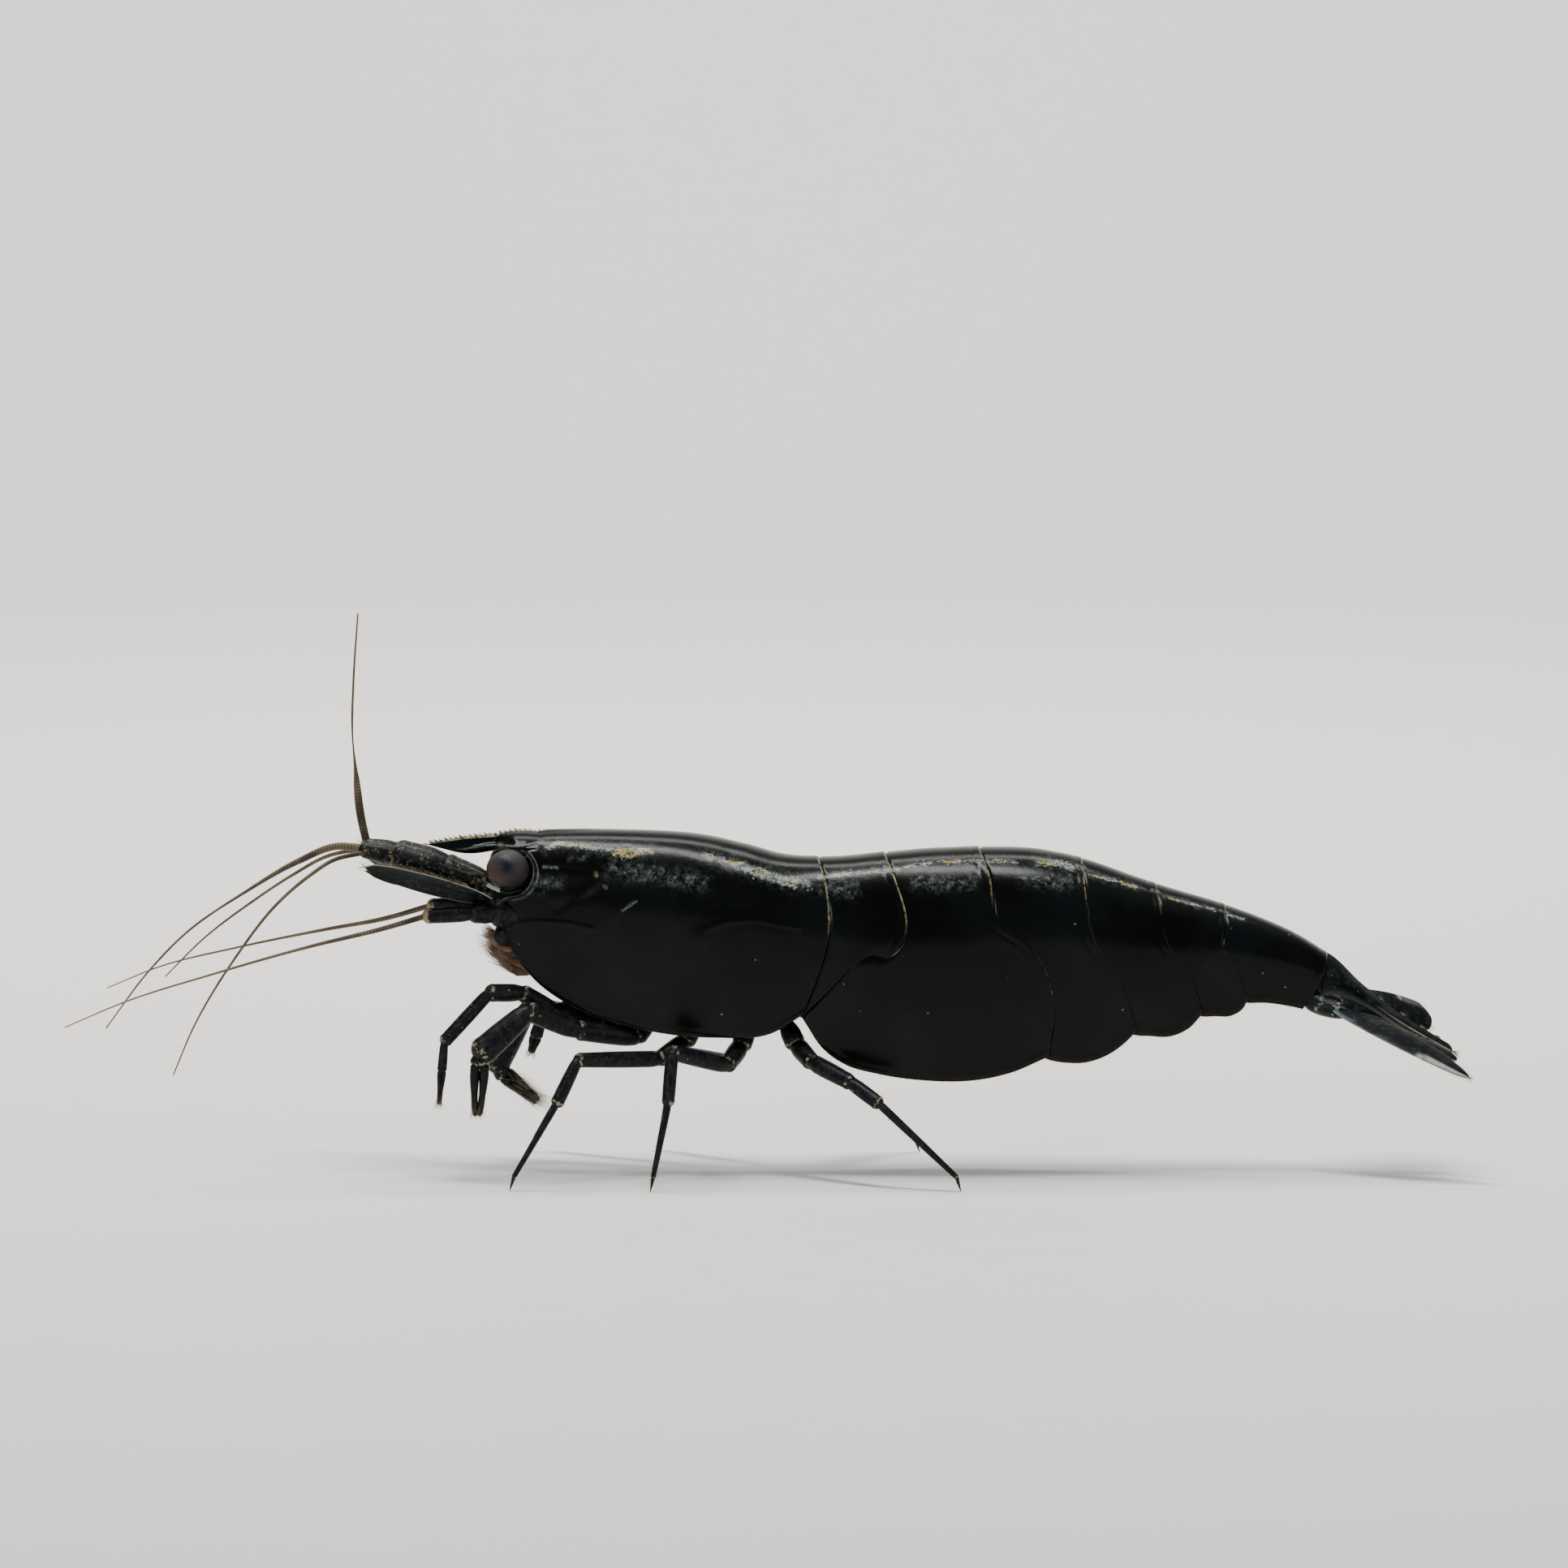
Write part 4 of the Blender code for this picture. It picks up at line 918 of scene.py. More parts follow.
def eye_grid(centre, axis, gaze, rows=72, columns=96):
    """A sphere drawn out a little along its stalk's axis, with the marks of EYE_MARKS."""
    axis, gaze = unit(axis), unit(gaze)
    polar = np.linspace(0, math.pi, rows)
    path = centre + axis * (EYE_RADIUS * 0.99 * -np.cos(polar))[:, None]
    a = unit(np.cross(axis, (0, 0, 1.0)))
    b = np.cross(axis, a)
    c, s = (v[:, None] for v in full_turn(columns))
    ring = (c * a + s * b) * (EYE_RADIUS * np.sin(polar))[:, None, None]
    grid = centre + (path[:, None] + ring - centre) * EYE_STRETCH
    ray = unit(grid - centre)
    off_gaze = np.arccos(np.clip(ray @ gaze, -1, 1))
    pupil = 0.70 * bell(off_gaze, 0, 0.27, 2.4) + 0.55 * bell(off_gaze, 0, 0.60)
    rim = ramp(off_gaze, 0.85, 0.65) ** 1.3
    # Painted shade: the lens darkens low and behind, away from the light above; it joins the dark
    # rim.
    painted_shade_low_behind = np.clip(ray @ unit((0.42, 0.42 * gaze[1], -0.75)), 0, 1) ** 1.6
    rim = np.maximum(rim, 0.85 * painted_shade_low_behind)
    rosy = np.clip(ray @ unit((-0.8, gaze[1] * 0.4, -0.45)), 0, 1) ** 1.5
    # Painted highlight: a violet-blue sheen high on the lens, towards the front, where light from
    # above falls.
    violet = bell(np.arccos(np.clip(ray @ unit((0.28, gaze[1], 0.72)), -1, 1)), 0, 0.42)
    marks = np.stack([rim, rosy, violet, np.minimum(pupil, 1)], axis=-1)
    return np.concatenate([grid, marks], axis=-1)


EYE_MARKS = ("rim", "rosy", "violet", "pupil")
FACETED_EYE = eye_coat()
SIDES = (("left", -1), ("right", 1))
for side_name, sign in SIDES:
    eye_centre = np.array([-7.61, sign * 1.32, 8.87])
    stalk_root = np.array([-7.50, sign * 0.30, 8.72])
    eye_axis = unit(eye_centre - stalk_root)
    eye_gaze = (-0.09, sign * 0.95, 0.24)
    skin(f"eye_{side_name}_lens", [eye_grid(eye_centre, eye_axis, eye_gaze)],
         [f"eye_{side_name}"], FACETED_EYE, EYE_MARKS)
    share = np.linspace(0, 1, 30)
    stalk_path = stalk_root + eye_axis * (share * 0.93)[:, None]
    stalk_size = smooth_through([0, 0.25, 0.6, 0.85, 0.96, 1.0],
                                [0.30, 0.27, 0.36, 0.53, 0.575, 0.50], share)
    stalk_size[[0, -1]] = 0.0
    stalk_edge = bell(share, 0.93, 0.06)
    cup = sleeve(stalk_path, stalk_size, columns=40, side=(0, 0, 1), marks=(0.5 * stalk_edge, 0))
    skin(f"eyestalk_{side_name}_cup", [cup], [f"eyestalk_{side_name}"], LIMB_SKIN,
         LIMB_MARKS)
    # A thin pad low in front of each eye, carrying a painted highlight: a pale green-white glint.
    glint_pad_path = along([(-8.40, sign * 1.20, 8.58), (-8.04, sign * 1.50, 8.38),
                      (-7.60, sign * 1.54, 8.24), (-7.20, sign * 1.30, 8.28)], share)
    glint_pad_size, glint_pad_pale = 0.085 * np.sin(math.pi * share) ** 0.5, 1.5 * bell(share, 0.38, 0.17, 4)
    glint_pad = sleeve(glint_pad_path, glint_pad_size, columns=12, side=(0, 0, 1), flat=0.8, marks=(glint_pad_pale, 0))
    skin(f"eye_painted_glint_{side_name}", [glint_pad], [], PAINTED_GLINT_SKIN, LIMB_MARKS)


# Upper feelers.
# Each is a stout stem of three lengths, mottled and finely haired, under a pointed guard at its
# root, with two ringed whips. The right outer whip is held straight up.

def shaft(a, b, thick_a, thick_b, outer_a, outer_b, side=(1, 0, 0), flat=1.0, rows=30, columns=18):
    """One length of a limb from hinge a to hinge b: necked in at a, collared and rounded at b."""
    a, b = np.asarray(a, float), np.asarray(b, float)
    length = np.linalg.norm(b - a)
    start, end = -0.50 * thick_a, length + 0.55 * thick_b
    d = start + (end - start) * crowded(rows)
    s = ramp(d, 0, length)
    swell, neck = 1 + 0.07 * np.sin(math.pi * s), 0.86 + 0.14 * eased(ramp(d, 0, 1.3 * thick_a))
    collar = 0.05 * thick_b * bell(length - d, 0.30 * thick_b, 0.28 * thick_b)
    size = (thick_a + (thick_b - thick_a) * s) * swell * neck + collar
    size = size * tapered_ends(d - start, 0.8 * thick_a) * tapered_ends(end - d, 0.9 * thick_b)
    joint = np.maximum(bell(length - d, 0, 0.45 * thick_b + 0.02),
                       0.6 * bell(d, 0, 0.35 * thick_a + 0.02))
    return sleeve(a + unit(b - a) * d[:, None], size, columns, side, flat,
                  (joint, outer_a + (outer_b - outer_a) * s))


def chain(points, sizes, side=(1, 0, 0), flat=1.0, outer=(0.0, 1.0)):
    """The lengths of a limb in a row, from hinge points and a (thick, thin) pair for each."""
    points = np.asarray(points, float)
    steps = np.concatenate([[0], np.cumsum(np.linalg.norm(np.diff(points, axis=0), axis=1))])
    far = outer[0] + (outer[1] - outer[0]) * steps / steps[-1]
    return [shaft(points[i], points[i + 1], *size, far[i], far[i + 1], side, flat)
            for i, size in enumerate(sizes)]


RING_DARK, RING_OLIVE, RING_PALE = (0.010, 0.007, 0.004), (0.034, 0.026, 0.015), (0.22, 0.17, 0.10)


def whip_coat(name, light):
    """Ringed feeler: olive-brown bands, darker at each ring's joint, paler towards the tip."""
    made, tree, shader = coat(name, Specular_IOR_Level=0.14)
    spot = place(tree)
    broad = noise(tree, spot, 1.3, 3.0)
    colour = tint(tree, rise(tree, broad, 0.35, 0.65), RING_OLIVE,
                  tuple(0.5 * (p + q) for p, q in zip(RING_OLIVE, RING_PALE)))
    colour = tint(tree, mark(tree, "pale"), colour, RING_PALE, light)
    colour = tint(tree, mark(tree, "ring"), colour, RING_DARK, 0.75)
    rough = scaled(tree, broad, 0.2, 0.34)
    finish_coat(tree, shader, colour, rough, broad, relief=0.004)
    return made


WHIP_MARKS = ("ring", "pale")
DARK_WHIP, TAN_WHIP = whip_coat("ringed_whip", light=0.5), whip_coat("tan_whip", light=0.95)


def whip_sheet(route, size_keys, sizes, ring_length, columns=14):
    """A ringed whip: a tapering sleeve, rounded at its ends, that dips at each ring's joint."""
    length = np.linalg.norm(np.diff(np.asarray(route, float), axis=0), axis=1).sum()
    rings = int(length / ring_length)
    u = np.linspace(0, 1, rings * 5 + 1)
    joint = np.cos(math.pi * u * rings) ** 8
    d = u * length
    size = smooth_through(size_keys, sizes, u) * (1 - 0.07 * joint)
    size = size * tapered_ends(d, 0.05) * tapered_ends(length - d, 0.05)
    return sleeve(along(route, u), size, columns, marks=(joint, u))


def sided(points, sign):
    """Points of the right side, or their mirror images on the left where sign is -1."""
    return np.array(points, float) * (1, sign, 1)


STEM_HINGES = [(-8.22, 0.54, 8.30), (-9.48, 0.64, 8.80), (-10.85, 0.64, 9.18), (-11.80, 0.61, 9.37)]
STEM_SIZES = [(0.30, 0.36), (0.40, 0.37), (0.32, 0.21)]
GUARD_ROUTE = [(-8.25, 0.80, 8.35), (-8.9, 1.02, 8.62), (-9.62, 0.98, 9.02)]
UPPER_WHIPS = {                  # route; sizes at shares of the length; ring length
    "antennule_outer_right": ([(-11.72, 0.62, 9.36), (-11.92, 0.66, 10.3), (-12.04, 0.75, 11.4),
                               (-12.15, 0.9, 12.6), (-12.12, 0.95, 14.0), (-11.98, 1.0, 16.06)],
                              [0, 0.29, 0.31, 0.36, 0.6, 1],
                              [0.125, 0.085, 0.070, 0.042, 0.036, 0.024], 0.085),
    "antennule_inner_right": ([(-11.70, 0.68, 9.30), (-12.9, 1.05, 9.02), (-13.9, 1.5, 8.45),
                               (-15.2, 2.2, 7.55), (-16.6, 2.9, 6.45), (-17.8, 3.4, 5.25)],
                              [0, 0.3, 0.6, 1], [0.070, 0.048, 0.036, 0.020], 0.10),
    "antennule_outer_left": ([(-11.66, -0.58, 9.40), (-12.6, -0.46, 9.44), (-13.6, -0.6, 9.05),
                              (-15.1, -1.2, 8.22), (-16.8, -2.0, 7.08), (-17.8, -2.4, 6.06),
                              (-19.0, -2.8, 4.46)],
                             [0, 0.2, 0.30, 0.42, 0.7, 1],
                             [0.120, 0.095, 0.070, 0.045, 0.034, 0.020], 0.09),
    "antennule_inner_left": ([(-11.68, -0.68, 9.30), (-12.60, -1.2, 9.12), (-13.15, -1.7, 8.80),
                              (-14.0, -2.3, 8.12), (-15.3, -3.4, 6.50), (-16.4, -4.2, 4.66),
                              (-16.95, -4.6, 3.35)],
                             [0, 0.3, 0.6, 1], [0.072, 0.050, 0.038, 0.020], 0.10),
}
STEM_SKIN = limb_coat("mottled_stem", joint_share=0.5, speckle_share=0.05, brown_from=0.9,
                      blotches=0.7)
stem_beds = []
for side_name, sign in SIDES:
    stem = chain(sided(STEM_HINGES, sign), STEM_SIZES, side=(0, 1, 0), flat=0.95,
                 outer=(0.0, 0.7))
    share = np.linspace(0, 1, 26)
    guard_size = smooth_through([0, 0.15, 0.5, 0.85, 1], [0.0, 0.20, 0.17, 0.07, 0.0], share)
    guard = sleeve(along(sided(GUARD_ROUTE, sign), share), guard_size, columns=14, flat=0.45,
                   marks=(0, 0.9 * share))
    skin(f"antennule_stem_{side_name}", [*stem, guard], [f"antennule_base_{side_name}"],
         STEM_SKIN, LIMB_MARKS)
    stem_beds += [bed(part, *scattered(0.15, 0.95, 60), length=0.11, thick=0.005, lean=0.9)
                  for part in stem]
    stem_beds.append(bed(stem[-1], 0.93, np.linspace(0, 1, 24), length=0.20, thick=0.005,
                         lean=1.5))
bristles("antennule_stem_bristles", stem_beds, PALE_HAIR)
for whip_name, (route, keys, sizes, ring_length) in UPPER_WHIPS.items():
    skin(f"{whip_name}_whip", [whip_sheet(route, keys, sizes, ring_length)], [whip_name],
         DARK_WHIP, WHIP_MARKS)


# Lower feelers.
# A round stem with a cream ring carries one long tan whip on each side, under a broad horny
# scale. The scale's outer edge is straight and ends in a tooth, and its inner edge is haired.

SCALE_BLACK, SCALE_BLUE = (0.0030, 0.0040, 0.0045), (0.014, 0.022, 0.025)
# HAZE_BLUE paints the tail blades' painted sheen along one edge, and the stubs' pale-blue patches.
EDGE_PALE, EDGE_BROWN, HAZE_BLUE = (0.30, 0.33, 0.29), (0.030, 0.020, 0.012), (0.085, 0.145, 0.165)


def blade_coat(name, pale_edge, blue_share, gloss):
    """Thin blade: black with blue-grey patches, brown clear margins, a pale rim line and a painted
    pale-blue sheen along one edge near the root.
    """
    made, tree, shader = coat(name, Specular_IOR_Level=gloss)
    spot = place(tree)
    grain = put_group(tree, GRAIN, spot, Pits=0.05, Swell=0.22)
    colour = tint(tree, rise(tree, grain["Mottle"], 0.48, 0.72), SCALE_BLACK, SCALE_BLUE)
    patch = noise(tree, place(tree, (0.6, 1, 1)), 2.6, 5.0)
    colour = tint(tree, rise(tree, patch, 0.52, 0.70), colour, CLOUD_BLUE, blue_share)
    dust = put_group(tree, FLECKS, spot, Size=0.050, Share=0.003)
    colour = tint(tree, dust["Mask"], colour, CLOUD_PALE, 0.4)
    edge = mark(tree, "edge")
    colour = tint(tree, rise(tree, edge, 0.35, 0.85), colour, EDGE_BROWN, 0.7)
    # Painted highlight: a pale-blue sheen along the outer edge near the root.
    edge_sheen = times(tree, mark(tree, "edge_sheen"), rise(tree, patch, 0.40, 0.60))
    colour = tint(tree, edge_sheen, colour, HAZE_BLUE, 0.65)
    line = times(tree, mark(tree, "line"), rise(tree, patch, 0.25, 0.42))
    colour = tint(tree, line, colour, EDGE_PALE, pale_edge)
    rough = scaled(tree, grain["Mottle"], 0.20, 0.40)
    finish_coat(tree, shader, colour, rough, grain["Height"], relief=0.005)
    return made


BLADE_MARKS = ("edge", "line", "edge_sheen")


def leaf(root, tip, keys, half_widths, thick, lean, camber, skew=0.0, suture=None, droop=0.0,
         outer=0, rows=80, columns=56):
    """A thin closed leaf from root to tip: at each station an oval ring, flat and slightly arched.

    half_widths are at shares keys of its length. lean turns it about its length from lying flat,
    skew shifts its middle line towards one side, suture is the share where a groove crosses,
    droop bends its middle up, and outer is the side whose edge is pale beyond the groove.
    """
    root, tip = np.asarray(root, float), np.asarray(tip, float)
    ahead = unit(tip - root)
    across = unit(np.cross((0, 0, 1.0), ahead))
    up = np.cross(ahead, across)
    across, up = (across * math.cos(lean) + up * math.sin(lean),
                  up * math.cos(lean) - across * math.sin(lean))
    s = crowded(rows)[:, None]
    width = np.maximum(smooth_through(keys, half_widths, s[:, 0]), 0.0)[:, None]
    width = width * tapered_ends(1 - s, 0.10)
    c, h = full_turn(columns)
    h = np.sign(h) * np.abs(h) ** 0.7
    rib = 0.5 * bell(c, 0, 0.09) * ramp(s, 0.95, -0.95)
    rim_rib = 0.2 * bell(np.abs(c), 0.86, 0.07)
    height = thick / 2 * ramp(width, 0, 0.10) * h * (1 + rib + rim_rib)
    if suture is not None:
        height = height * (1 - 0.55 * bell(s, suture, 0.012))
    arch = np.sin(math.pi * s)
    height = height + camber * (1 - c**2) * width / max(half_widths) + droop * arch
    middle_line = root + ahead * s * np.linalg.norm(tip - root)
    grid = (middle_line[:, None] + across * (width * c + skew * arch)[..., None]
            + up * height[..., None])
    to_edge = width * (1 - np.abs(c))
    edge, line, edge_sheen = ramp(to_edge, 0.16, -0.16), ramp(to_edge, 0.035, -0.035), 0 * to_edge
    if suture is not None:
        # Where the painted pale-blue sheen lies: the outer edge, near the root.
        edge_sheen = ramp(outer * c, 0.55, 0.2) * ramp(s, 0.55, -0.5)
        spot = bell(s, suture, 0.02) * ramp(outer * c, 0.5, 0.3)
        strip = ramp(s, suture, 0.05) * ramp(outer * c, 0.42, 0.2) * (1.0 if outer < 0 else 0.2)
        strip = strip * np.clip((0.985 - outer * c) / 0.05, 0.3, 1)
        line = np.maximum(line * 0.4, np.maximum(spot, strip))
    return np.concatenate([grid, np.stack([edge, line, edge_sheen], axis=-1)], axis=-1)


SCALE_COAT = blade_coat("antennal_scale", pale_edge=0.75, blue_share=0.30, gloss=0.05)
LOWER_HINGES = [(-7.20, 0.72, 7.35), (-7.95, 0.98, 7.62), (-8.65, 1.24, 7.60), (-9.95, 1.46, 7.54)]
LOWER_ROUTE = [(-10.00, 1.47, 7.53), (-11.15, 2.0, 7.24), (-13.1, 3.05, 6.86), (-15.8, 4.7, 6.24),
               (-18.2, 6.1, 5.60), (-19.80, 6.85, 4.98)]
RIGHT_FALL = 0.45                # how much lower the right whip ends
SCALE_TOOTH = 0.22               # how far the scale's tooth stands out
JOINT = 3                        # the joint mark's place in a limb's sheet, after x, y and z
scale_beds = []
for side_name, sign in SIDES:
    stem = chain(sided(LOWER_HINGES, sign), [(0.34, 0.40), (0.34, 0.27), (0.23, 0.21)],
                 side=(0, 1, 0), outer=(0.0, 0.6))
    lump = shaft(*sided([(-7.30, 0.55, 6.75), (-7.85, 0.80, 6.98)], sign), thick_a=0.28,
                 thick_b=0.30, outer_a=0.1, outer_b=0.3, side=(0, 1, 0))
    for part in (*stem[:-1], lump):
        part[..., JOINT] *= 0.45
    stem[-1][..., JOINT] = 1.5 * bell(stem[-1][..., 0], -9.98, 0.20)
    skin(f"antenna_stem_{side_name}", [*stem, lump], [f"antenna_base_{side_name}"],
         LIMB_SKIN, LIMB_MARKS)
    route = sided(LOWER_ROUTE, sign)
    if sign > 0:
        route[:, 2] -= RIGHT_FALL * np.linspace(0, 1, len(route))
    whip = whip_sheet(route, [0, 0.17, 0.42, 0.7, 1], [0.086, 0.068, 0.043, 0.030, 0.018],
                      ring_length=0.10)
    skin(f"antenna_whip_{side_name}_ringed", [whip], [f"antenna_whip_{side_name}"],
         TAN_WHIP, WHIP_MARKS)
    scale = leaf(*sided([(-8.10, 1.25, 7.95), (-11.72, 1.62, 8.98)], sign),
                 [0, 0.08, 0.3, 0.6, 0.85, 0.95, 1], [0.16, 0.30, 0.45, 0.47, 0.34, 0.20, 0.0],
                 thick=0.07, lean=-sign * math.radians(38), camber=0.05, skew=0.03 * sign)
    rim = scale[[50, 58, 63, 66], 28 if sign < 0 else 0, :3]
    share = np.linspace(0, 1, 12)
    tooth_path = along([*rim, rim[-1] + SCALE_TOOTH * unit(rim[-1] - rim[0])], share)
    tooth = sleeve(tooth_path, 0.045 * np.sin(math.pi * share) ** 0.5, columns=10,
                   marks=(0.6, 0, 0))
    skin(f"antenna_scale_{side_name}_blade", [scale, tooth], [f"antenna_scale_{side_name}"],
         SCALE_COAT, BLADE_MARKS)
    inner = 0.0 if sign < 0 else 0.5
    scale_beds += [bed(scale, np.linspace(0.28, 0.99, 84), inner, length=0.26, thick=0.006,
                       lean=0.7, spread=0.05, bow=0.2),
                   bed(scale, np.linspace(0.88, 0.99, 16), 0.5 - inner, length=0.22, thick=0.006,
                       lean=1.2, spread=0.05)]
bristles("antenna_scale_fringe", scale_beds, PALE_HAIR)


# Mouth legs.
# Slim brown legs folded forward under the mouth, thin enough for light to come through, each with a
# small lobe beside it. Long combs of hair on them fan out below the head.

def clear_coat(name, base, dark, pale):
    """Thin brownish skin with darker streaks and pale spots; light comes a little way through."""
    made, tree, shader = coat(name, Specular_IOR_Level=0.25,
                              Subsurface_Weight=0.35, Subsurface_Scale=0.0004)
    shader.inputs["Subsurface Radius"].default_value = (1.0, 0.55, 0.35)
    spot = place(tree)
    streaks = noise(tree, place(tree, (0.7, 1.0, 2.4)), 2.6, 5.0, 0.65)
    colour = tint(tree, rise(tree, streaks, 0.42, 0.62), base, dark)
    specks = put_group(tree, FLECKS, spot, Size=0.07, Share=0.05)
    colour = tint(tree, specks["Mask"], colour, pale, 0.5)
    rough = scaled(tree, streaks, 0.25, 0.30)
    finish_coat(tree, shader, colour, rough, streaks, relief=0.010)
    return made


CLEAR_SKIN = clear_coat("clear_brown_skin", (0.165, 0.105, 0.070), (0.045, 0.028, 0.018),
                        (0.31, 0.225, 0.155))
MOUTH_HAIR = hair_coat("mouth_bristle", (0.20, 0.13, 0.085), (0.42, 0.295, 0.205))
MOUTH_HINGES = [(-6.95, 0.34, 5.86), (-7.42, 0.46, 5.84), (-7.96, 0.60, 6.36), (-8.14, 0.60, 6.92)]
COMB_LENGTHS = (0.88, 0.62, 0.28, 0.62, 0.28)    # on the leg's three lengths and the two lobes
mouth_beds = []
for side_name, sign in SIDES:
    leg = chain(sided(MOUTH_HINGES, sign), [(0.14, 0.13), (0.12, 0.11), (0.10, 0.06)],
                side=(0, 1, 0), flat=0.8)
    lobe = leaf(*sided([(-7.35, 0.62, 6.55), (-8.22, 0.80, 6.86)], sign), [0, 0.3, 0.7, 1],
                [0.10, 0.24, 0.17, 0.0], thick=0.07, lean=sign * math.radians(62), camber=0.06,
                rows=40, columns=30)
    lower_lobe = leaf(*sided([(-6.92, 0.50, 5.92), (-7.92, 0.74, 6.42)], sign), [0, 0.3, 0.7, 1],
                      [0.08, 0.15, 0.09, 0.0], thick=0.06, lean=sign * math.radians(55),
                      camber=0.05, rows=40, columns=30)
    skin(f"mouth_leg_{side_name}", [*leg, lobe, lower_lobe], [f"maxilliped_{side_name}"],
         CLEAR_SKIN, LIMB_MARKS)
    mouth_beds += [bed(part, *scattered(0.1, 0.9, 110), length=reach, thick=0.006, bow=0.1,
                       toward=(-0.80, sign * 0.10, 0.55))
                   for part, reach in zip([*leg, lower_lobe, lobe], COMB_LENGTHS)]
    mouth_beds.append(bed(lobe, np.linspace(0.3, 0.98, 40), 0.5 if sign < 0 else 0.0, length=0.30,
                          thick=0.006, lean=1.0))
bristles("mouth_fans", mouth_beds, MOUTH_HAIR)


# Claw legs.
# Two front pairs held off the floor. Each ends in a small pincer with spoon-tipped fingers for
# picking at film; the second pair is stouter, with a cup-shaped wrist.

def finger(root, tip, bow, thick, outer, side=(0, 1, 0)):
    """One finger of a pincer: a bowed taper, flattened, that swells a little into its spoon tip."""
    root, tip, bow = (np.asarray(v, float) for v in (root, tip, bow))
    u = np.linspace(0, 1, 28)
    path = root + (tip - root) * u[:, None] + bow * np.sin(math.pi * u)[:, None] ** 1.2
    size = thick * smooth_through([0, 0.2, 0.6, 0.85, 1], [0.92, 1.0, 0.72, 0.66, 0.42], u)
    length = np.linalg.norm(tip - root)
    size = size * tapered_ends(u * length, 0.06) * tapered_ends((1 - u) * length, 0.07)
    return sleeve(path, size, columns=14, side=side, flat=1.15,
                  marks=(0, outer + (1 - outer) * u))


def pincer(wrist, tip, thick, gape, palm_share):
    """Palm and two fingers from a wrist to the fingers' tips; gape is how far the fingers bow."""
    wrist, tip = np.asarray(wrist, float), np.asarray(tip, float)
    ahead = unit(tip - wrist)
    open_way = unit(np.cross(ahead, (0, 1.0, 0)))
    knuckle = wrist + (tip - wrist) * palm_share
    palm = shaft(wrist, knuckle, thick_a=thick * 0.82, thick_b=thick, outer_a=0.80, outer_b=0.88,
                 side=(0, 1, 0), flat=0.9)
    fingers = [finger(knuckle + way * thick * 0.50, tip + way * thick * 0.22, way * gape,
                      thick * 0.50, outer=0.88) for way in (-open_way, open_way)]
    return [palm, *fingers]


CLAW_LEGS = {       # hinge points; (thick, thin) of each length; pincer: tip, size, gape, palm
    "leg_1_left": ([(-4.6, -0.60, 4.60), (-4.9, -0.66, 4.28), (-6.3, -0.85, 4.74),
                    (-7.2, -1.45, 5.34), (-8.12, -2.0, 5.40), (-9.40, -2.2, 4.02)],
                   [(0.26, 0.27), (0.27, 0.26), (0.24, 0.25), (0.24, 0.25), (0.18, 0.19)],
                   ((-9.56, -2.2, 2.20), 0.135, -0.01, 0.45)),
    "leg_2_left": ([(-3.6, -0.52, 4.40), (-3.95, -0.80, 3.98), (-5.6, -1.60, 4.28),
                    (-7.0, -2.05, 4.90), (-8.36, -2.5, 3.72)],
                   [(0.26, 0.27), (0.28, 0.29), (0.30, 0.30), (0.29, 0.40)],
                   ((-8.46, -2.5, 1.90), 0.28, 0.02, 0.16)),
    "leg_1_right": ([(-4.6, 0.60, 4.60), (-4.9, 0.66, 4.28), (-6.1, 0.85, 4.66),
                     (-6.75, 1.2, 4.25)],
                    [(0.26, 0.27), (0.26, 0.24), (0.22, 0.22)],
                    ((-7.05, 1.3, 3.27), 0.19, 0.0, 0.5)),
    "leg_2_right": ([(-3.6, 0.52, 4.40), (-3.95, 0.80, 3.98), (-5.6, 1.60, 4.28),
                     (-7.10, 2.05, 4.60), (-8.10, 2.3, 2.74)],
                    [(0.26, 0.27), (0.27, 0.28), (0.26, 0.27), (0.26, 0.36)],
                    ((-6.86, 2.1, 1.74), 0.27, 0.0, 0.2)),
}
claw_beds = []
for leg_name, (hinges, sizes, claw) in CLAW_LEGS.items():
    arm = chain(hinges, sizes, side=(0, 0.3, 1), outer=(0.0, 0.8))
    hand = pincer(hinges[-1], *claw)
    skin(f"{leg_name}_clawed", [*arm, *hand], [leg_name], LIMB_SKIN, LIMB_MARKS)
    claw_beds += [bed(part, *scattered(0.80, 0.97, 26), length=0.24, thick=0.006, lean=2.6,
                      spread=0.22) for part in hand[1:]]
    claw_beds.append(bed(arm[-1], *scattered(0.3, 0.95, 24), length=0.12, thick=0.006, lean=0.8))
    if leg_name == "leg_2_right":
        brush = [bed(part, *scattered(0.05, 0.85, 170), length=0.72, thick=0.0042, spread=0.17,
                     bow=0.1, toward=(0.86, 0.10, -0.48)) for part in hand[1:]]
bristles("claw_brushes", claw_beds, PALE_HAIR)
bristles("claw_long_brush", brush, BRUSH_HAIR)


# Walking legs.
# Three pairs that carry the animal: a stout thigh, a short shin, and a long thin foot with
# small spines below and a hooked claw. The pale spots are soft skin in the hinges.

